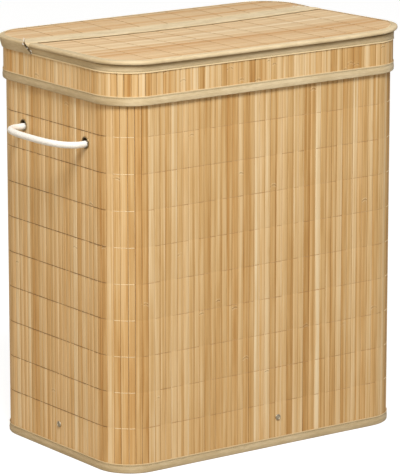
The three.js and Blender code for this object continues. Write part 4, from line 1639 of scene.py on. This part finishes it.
# A cup of cotton that hangs from its hem, draws in under it and stands on the board in soft folds
def makeBagShell(name, side):
    b, steps, inset = bagStyle, bagStyle["steps"], bagStyle["clothInset"]
    cup = (mouthHalfX - (b["endInset"] + b["middleInset"]) / 2, mouth[1] - b["sideInset"], mouth[2] - b["sideInset"])
    cupCentre = side * (mouthCentre - (b["endInset"] - b["middleInset"]) / 2)
    hemBottom = bagTop - b["hem"]
    bottom = bagFloor + b["standing"]
    neck = hemBottom - b["shoulder"]
    levels = [bagTop - 4 * mm, bagTop - 12 * mm] + [hemBottom - b["shoulder"] * i / 6 for i in range(7)]
    levels += [neck + (bottom + 6 * mm - neck) * (i + 1) / b["rings"] for i in range(b["rings"])]
    pleats = Ripple(81 + side, [2 * math.pi / 9, 2 * math.pi / 14, 2 * math.pi / 23])
    slant = Ripple(83 + side, [0.21, 0.13])
    around = []
    for k in range(steps):
        x, y, nx, ny = aroundBox(boxLength(*mouth) * k / steps, *mouth)
        wide = (side * mouthCentre + x - nx * inset, y - ny * inset)
        x, y, nx, ny = aroundBox(boxLength(*cup) * k / steps, *cup)
        around.append((wide, (cupCentre + x - nx * inset, y - ny * inset), (nx, ny)))
    points, uv = [], []
    for z in levels:
        narrow = float(smoothstep((hemBottom - z) / b["shoulder"]))
        depth = (hemBottom - z) / (hemBottom - bottom)
        for k, (wide, slim, out) in enumerate(around):
            fold = pleats(2 * math.pi * k / steps + 0.5 * slant(z))
            pull = b["fold"] * (0.5 - 0.5 * fold) * max(0, min(1, depth * 5)) * (1 + 0.8 * depth)
            points.append((*(w + (s - w) * narrow - n * pull for w, s, n in zip(wide, slim, out)), z))
            uv.append((k * 4.2 * mm, z))
    last = points[-steps:]
    hubX = sum(p[0] for p in last) / steps
    floorRipple = Ripple(87 + side, [0.11, 0.06])
    for share, lift in b["bottom"]:
        for p in last:
            x, y = hubX + (p[0] - hubX) * share, p[1] * share
            swell = 1 * mm * (1 + floorRipple(x + 2 * y)) * (1 - share)
            points.append((x, y, bottom - 1.6 * mm + lift + swell))
            uv.append((x, y))
    hub = len(points)
    faces = gridFaces(hub // steps, steps, False, True)
    faces += [(hub - steps + k, hub - steps + (k + 1) % steps, hub) for k in range(steps)]
    points.append((hubX, 0, bottom - 1.4 * mm))
    uv.append((hubX, 0))
    piece = makeMesh(f"{name}Bag", points, faces, materials["bagCotton"], uv, angle=80)
    step = piece.modifiers.new("cloth", "SOLIDIFY")
    step.thickness = b["cloth"]
    step.offset = 0
    solid = applied(piece)
    piece.modifiers.clear()
    piece.data = solid
    dress(piece, "bag_cloth", "hamper", f"{name}_bag")
    area = clothArea(piece)
    # a wall as wide as the mouth is round, and a bottom cut from the same cloth
    boxLength(*mouth)
    bagTop - bagFloor + 2 * cup[1]
    print(name, "bag, square metres of cloth:", round(area, 3))


def makeHem(name, side):
    low = bagTop - bagStyle["hem"]
    corners = [
        (-0.35 * mm, low), (-0.3 * mm, bagTop - 0.3 * mm), (-4.6 * mm, bagTop - 0.3 * mm),
        (-4.5 * mm, bagTop - 6 * mm), (-2.6 * mm, bagTop - 11 * mm), (-2.2 * mm, low),
    ]
    outline, run = ribbon(fillet(corners, [1.8 * mm, 1.8 * mm, 3 * mm, 3 * mm]), tapeStyle["thickness"])
    shiftX = side * mouthCentre
    waves = Ripple(91 + side, [0.09, 0.047])

    def sway(x, y, z):
        return (x + shiftX, y, z + (bagStyle["hemWave"] * waves(x + y) if z < bagTop - 20 * mm else 0))

    piece = sweepBox(f"{name}BagHem", outline, run, materials["bagCotton"], mouth, warp=sway)
    dress(piece, "bag_cloth", "hamper", f"{name}_bag_hem")
    rows = []
    for seam in bagStyle["seams"]:
        for start, end, out in boxStitches(-2.6 * mm, low + seam, 3.6 * mm, 2.7 * mm, mouth, seed=12):
            rows.append((*((p[0] + shiftX, p[1], p[2]) for p in (start, end)), (-out[0], -out[1], 0)))
    sewn(f"{name}HemStitches", "hamper", rows, slot="bag_cloth")
    inset = bagStyle["hoopInset"]
    hoop(f"{name}BagHoop", -inset, bagTop - inset, f"{name}_bag_hoop", "hamper", mouth, shiftX)


# The bag's hook strip on its three outer sides
def makeHookStrip(name, side):
    half, margin = lidLength / 2, mouth[2] + bagStyle["gap"] / 2
    start = margin + (half if side > 0 else 0)
    end = start + half - 2 * margin
    span = [start] + [s for s in boxStations(wallPath, 12 * mm, 16) if start < s < end] + [end]
    outer, inner = bagStyle["hookStrip"]
    outline = [(outer, stripLow), (outer, stripHigh), (inner, stripHigh), (inner, stripLow)]
    tall = stripHigh - stripLow
    piece = sweepBox(
        f"{name}BagHookStrip", outline, [0, tall, tall, 0], materials["fastening"], stations=span, angle=40
    )
    dress(piece, "hook_and_loop", "hamper", f"{name}_bag_hook_strip")


for name, side in (("left", -1), ("right", 1)):
    makeBagShell(name, side)
    makeHem(name, side)
    makeHookStrip(name, side)
print("bags made")

# CAD pieces that keep their shape, by material
kept = {
    "barSteel": ["long_spreader_bar", "cross_spreader_bar"],
    "fibreboard": ["base_board"],
    "rivetSteel": ["spreader_pivot"] + [f"{wall}_rivet_washer" for wall in outwards],
    "eyeletSteel": [f"{wall}_{end}_eyelet_ring" for wall, end, y in eyelets],
}
for name, pieces in kept.items():
    for node in pieces:
        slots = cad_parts[node].data.materials
        slots.clear()
        slots.append(materials[name])

# Floor and light
studio = {
    "world": 0.39,
    "worldColour": (1.0, 0.985, 0.955, 1),
    "floor": linear(170, 170, 170),
    "floorPatches": linear(166, 166, 165),
    "floorBounce": linear(184, 178, 168),
    "floorGlow": (0.8, 0.8, 0.8, 1),  # seen by the camera alone, so that the floor is white right up to the horizon
    "floorSize": 30,
}
# Square area lamps: place, aim, width, power and colour
lamps = {
    "keyLamp": [(-1.0, -1.8, 2.75), (0, 0, 0.3), 0.95, 89, (1, 1, 1)],
    "sideLamp": [(-3.1, 0.2, 1.7), (-0.26, 0, 0.3), 1.8, 14.5, (1.0, 0.76, 0.42)],
}


def floorLook(shader):
    cloud = shader.noise(shader.add("ShaderNodeTexCoord", output="Object"), 2.0)
    colour = shader.mix(shader.range(cloud, 0.3, 0.7, 0, 0.1), studio["floor"], studio["floorPatches"])
    seen = shader.add("ShaderNodeLightPath", output="Is Camera Ray")
    return {
        "Base Color": shader.mix(seen, studio["floorBounce"], colour),
        "Emission Color": shader.mix(seen, (0, 0, 0, 1), studio["floorGlow"]),
        "Emission Strength": 1.0,
        "Roughness": 0.9,
        "Specular IOR Level": 0.1,
    }


def makeFloor():
    size = studio["floorSize"]
    corners = [(-size, -size, 0), (size, -size, 0), (size, size, 0), (-size, size, 0)]
    makeMesh("floor", corners, [(0, 1, 2, 3)], makeMaterial("paleFloor", floorLook), recalc=False)


def makeLamp(name, place, target, size, power, colour):
    data = bpy.data.lights.new(name, "AREA")
    data.shape = "SQUARE"
    data.size, data.energy, data.color = size, power, colour
    lamp = bpy.data.objects.new(name, data)
    lamp.location = place
    lamp.rotation_euler = (Vector(target) - Vector(place)).to_track_quat("-Z", "Y").to_euler()
    bpy.context.collection.objects.link(lamp)


# Full white to the camera, soft light to everything else
def makeWorld():
    world = bpy.data.worlds.new("studio")
    world.use_nodes = True
    shader = Shader(world.node_tree)
    seen = shader.add("ShaderNodeLightPath", output="Is Camera Ray")
    strength = shader.range(seen, 0, 1, studio["world"], 1, False)
    shader.put(world.node_tree.nodes["Background"].inputs, {"Color": studio["worldColour"], "Strength": strength})
    bpy.context.scene.world = world


makeFloor()
makeWorld()
for name, values in lamps.items():
    makeLamp(name, *values)
bpy.context.scene.view_settings.view_transform = "Standard"
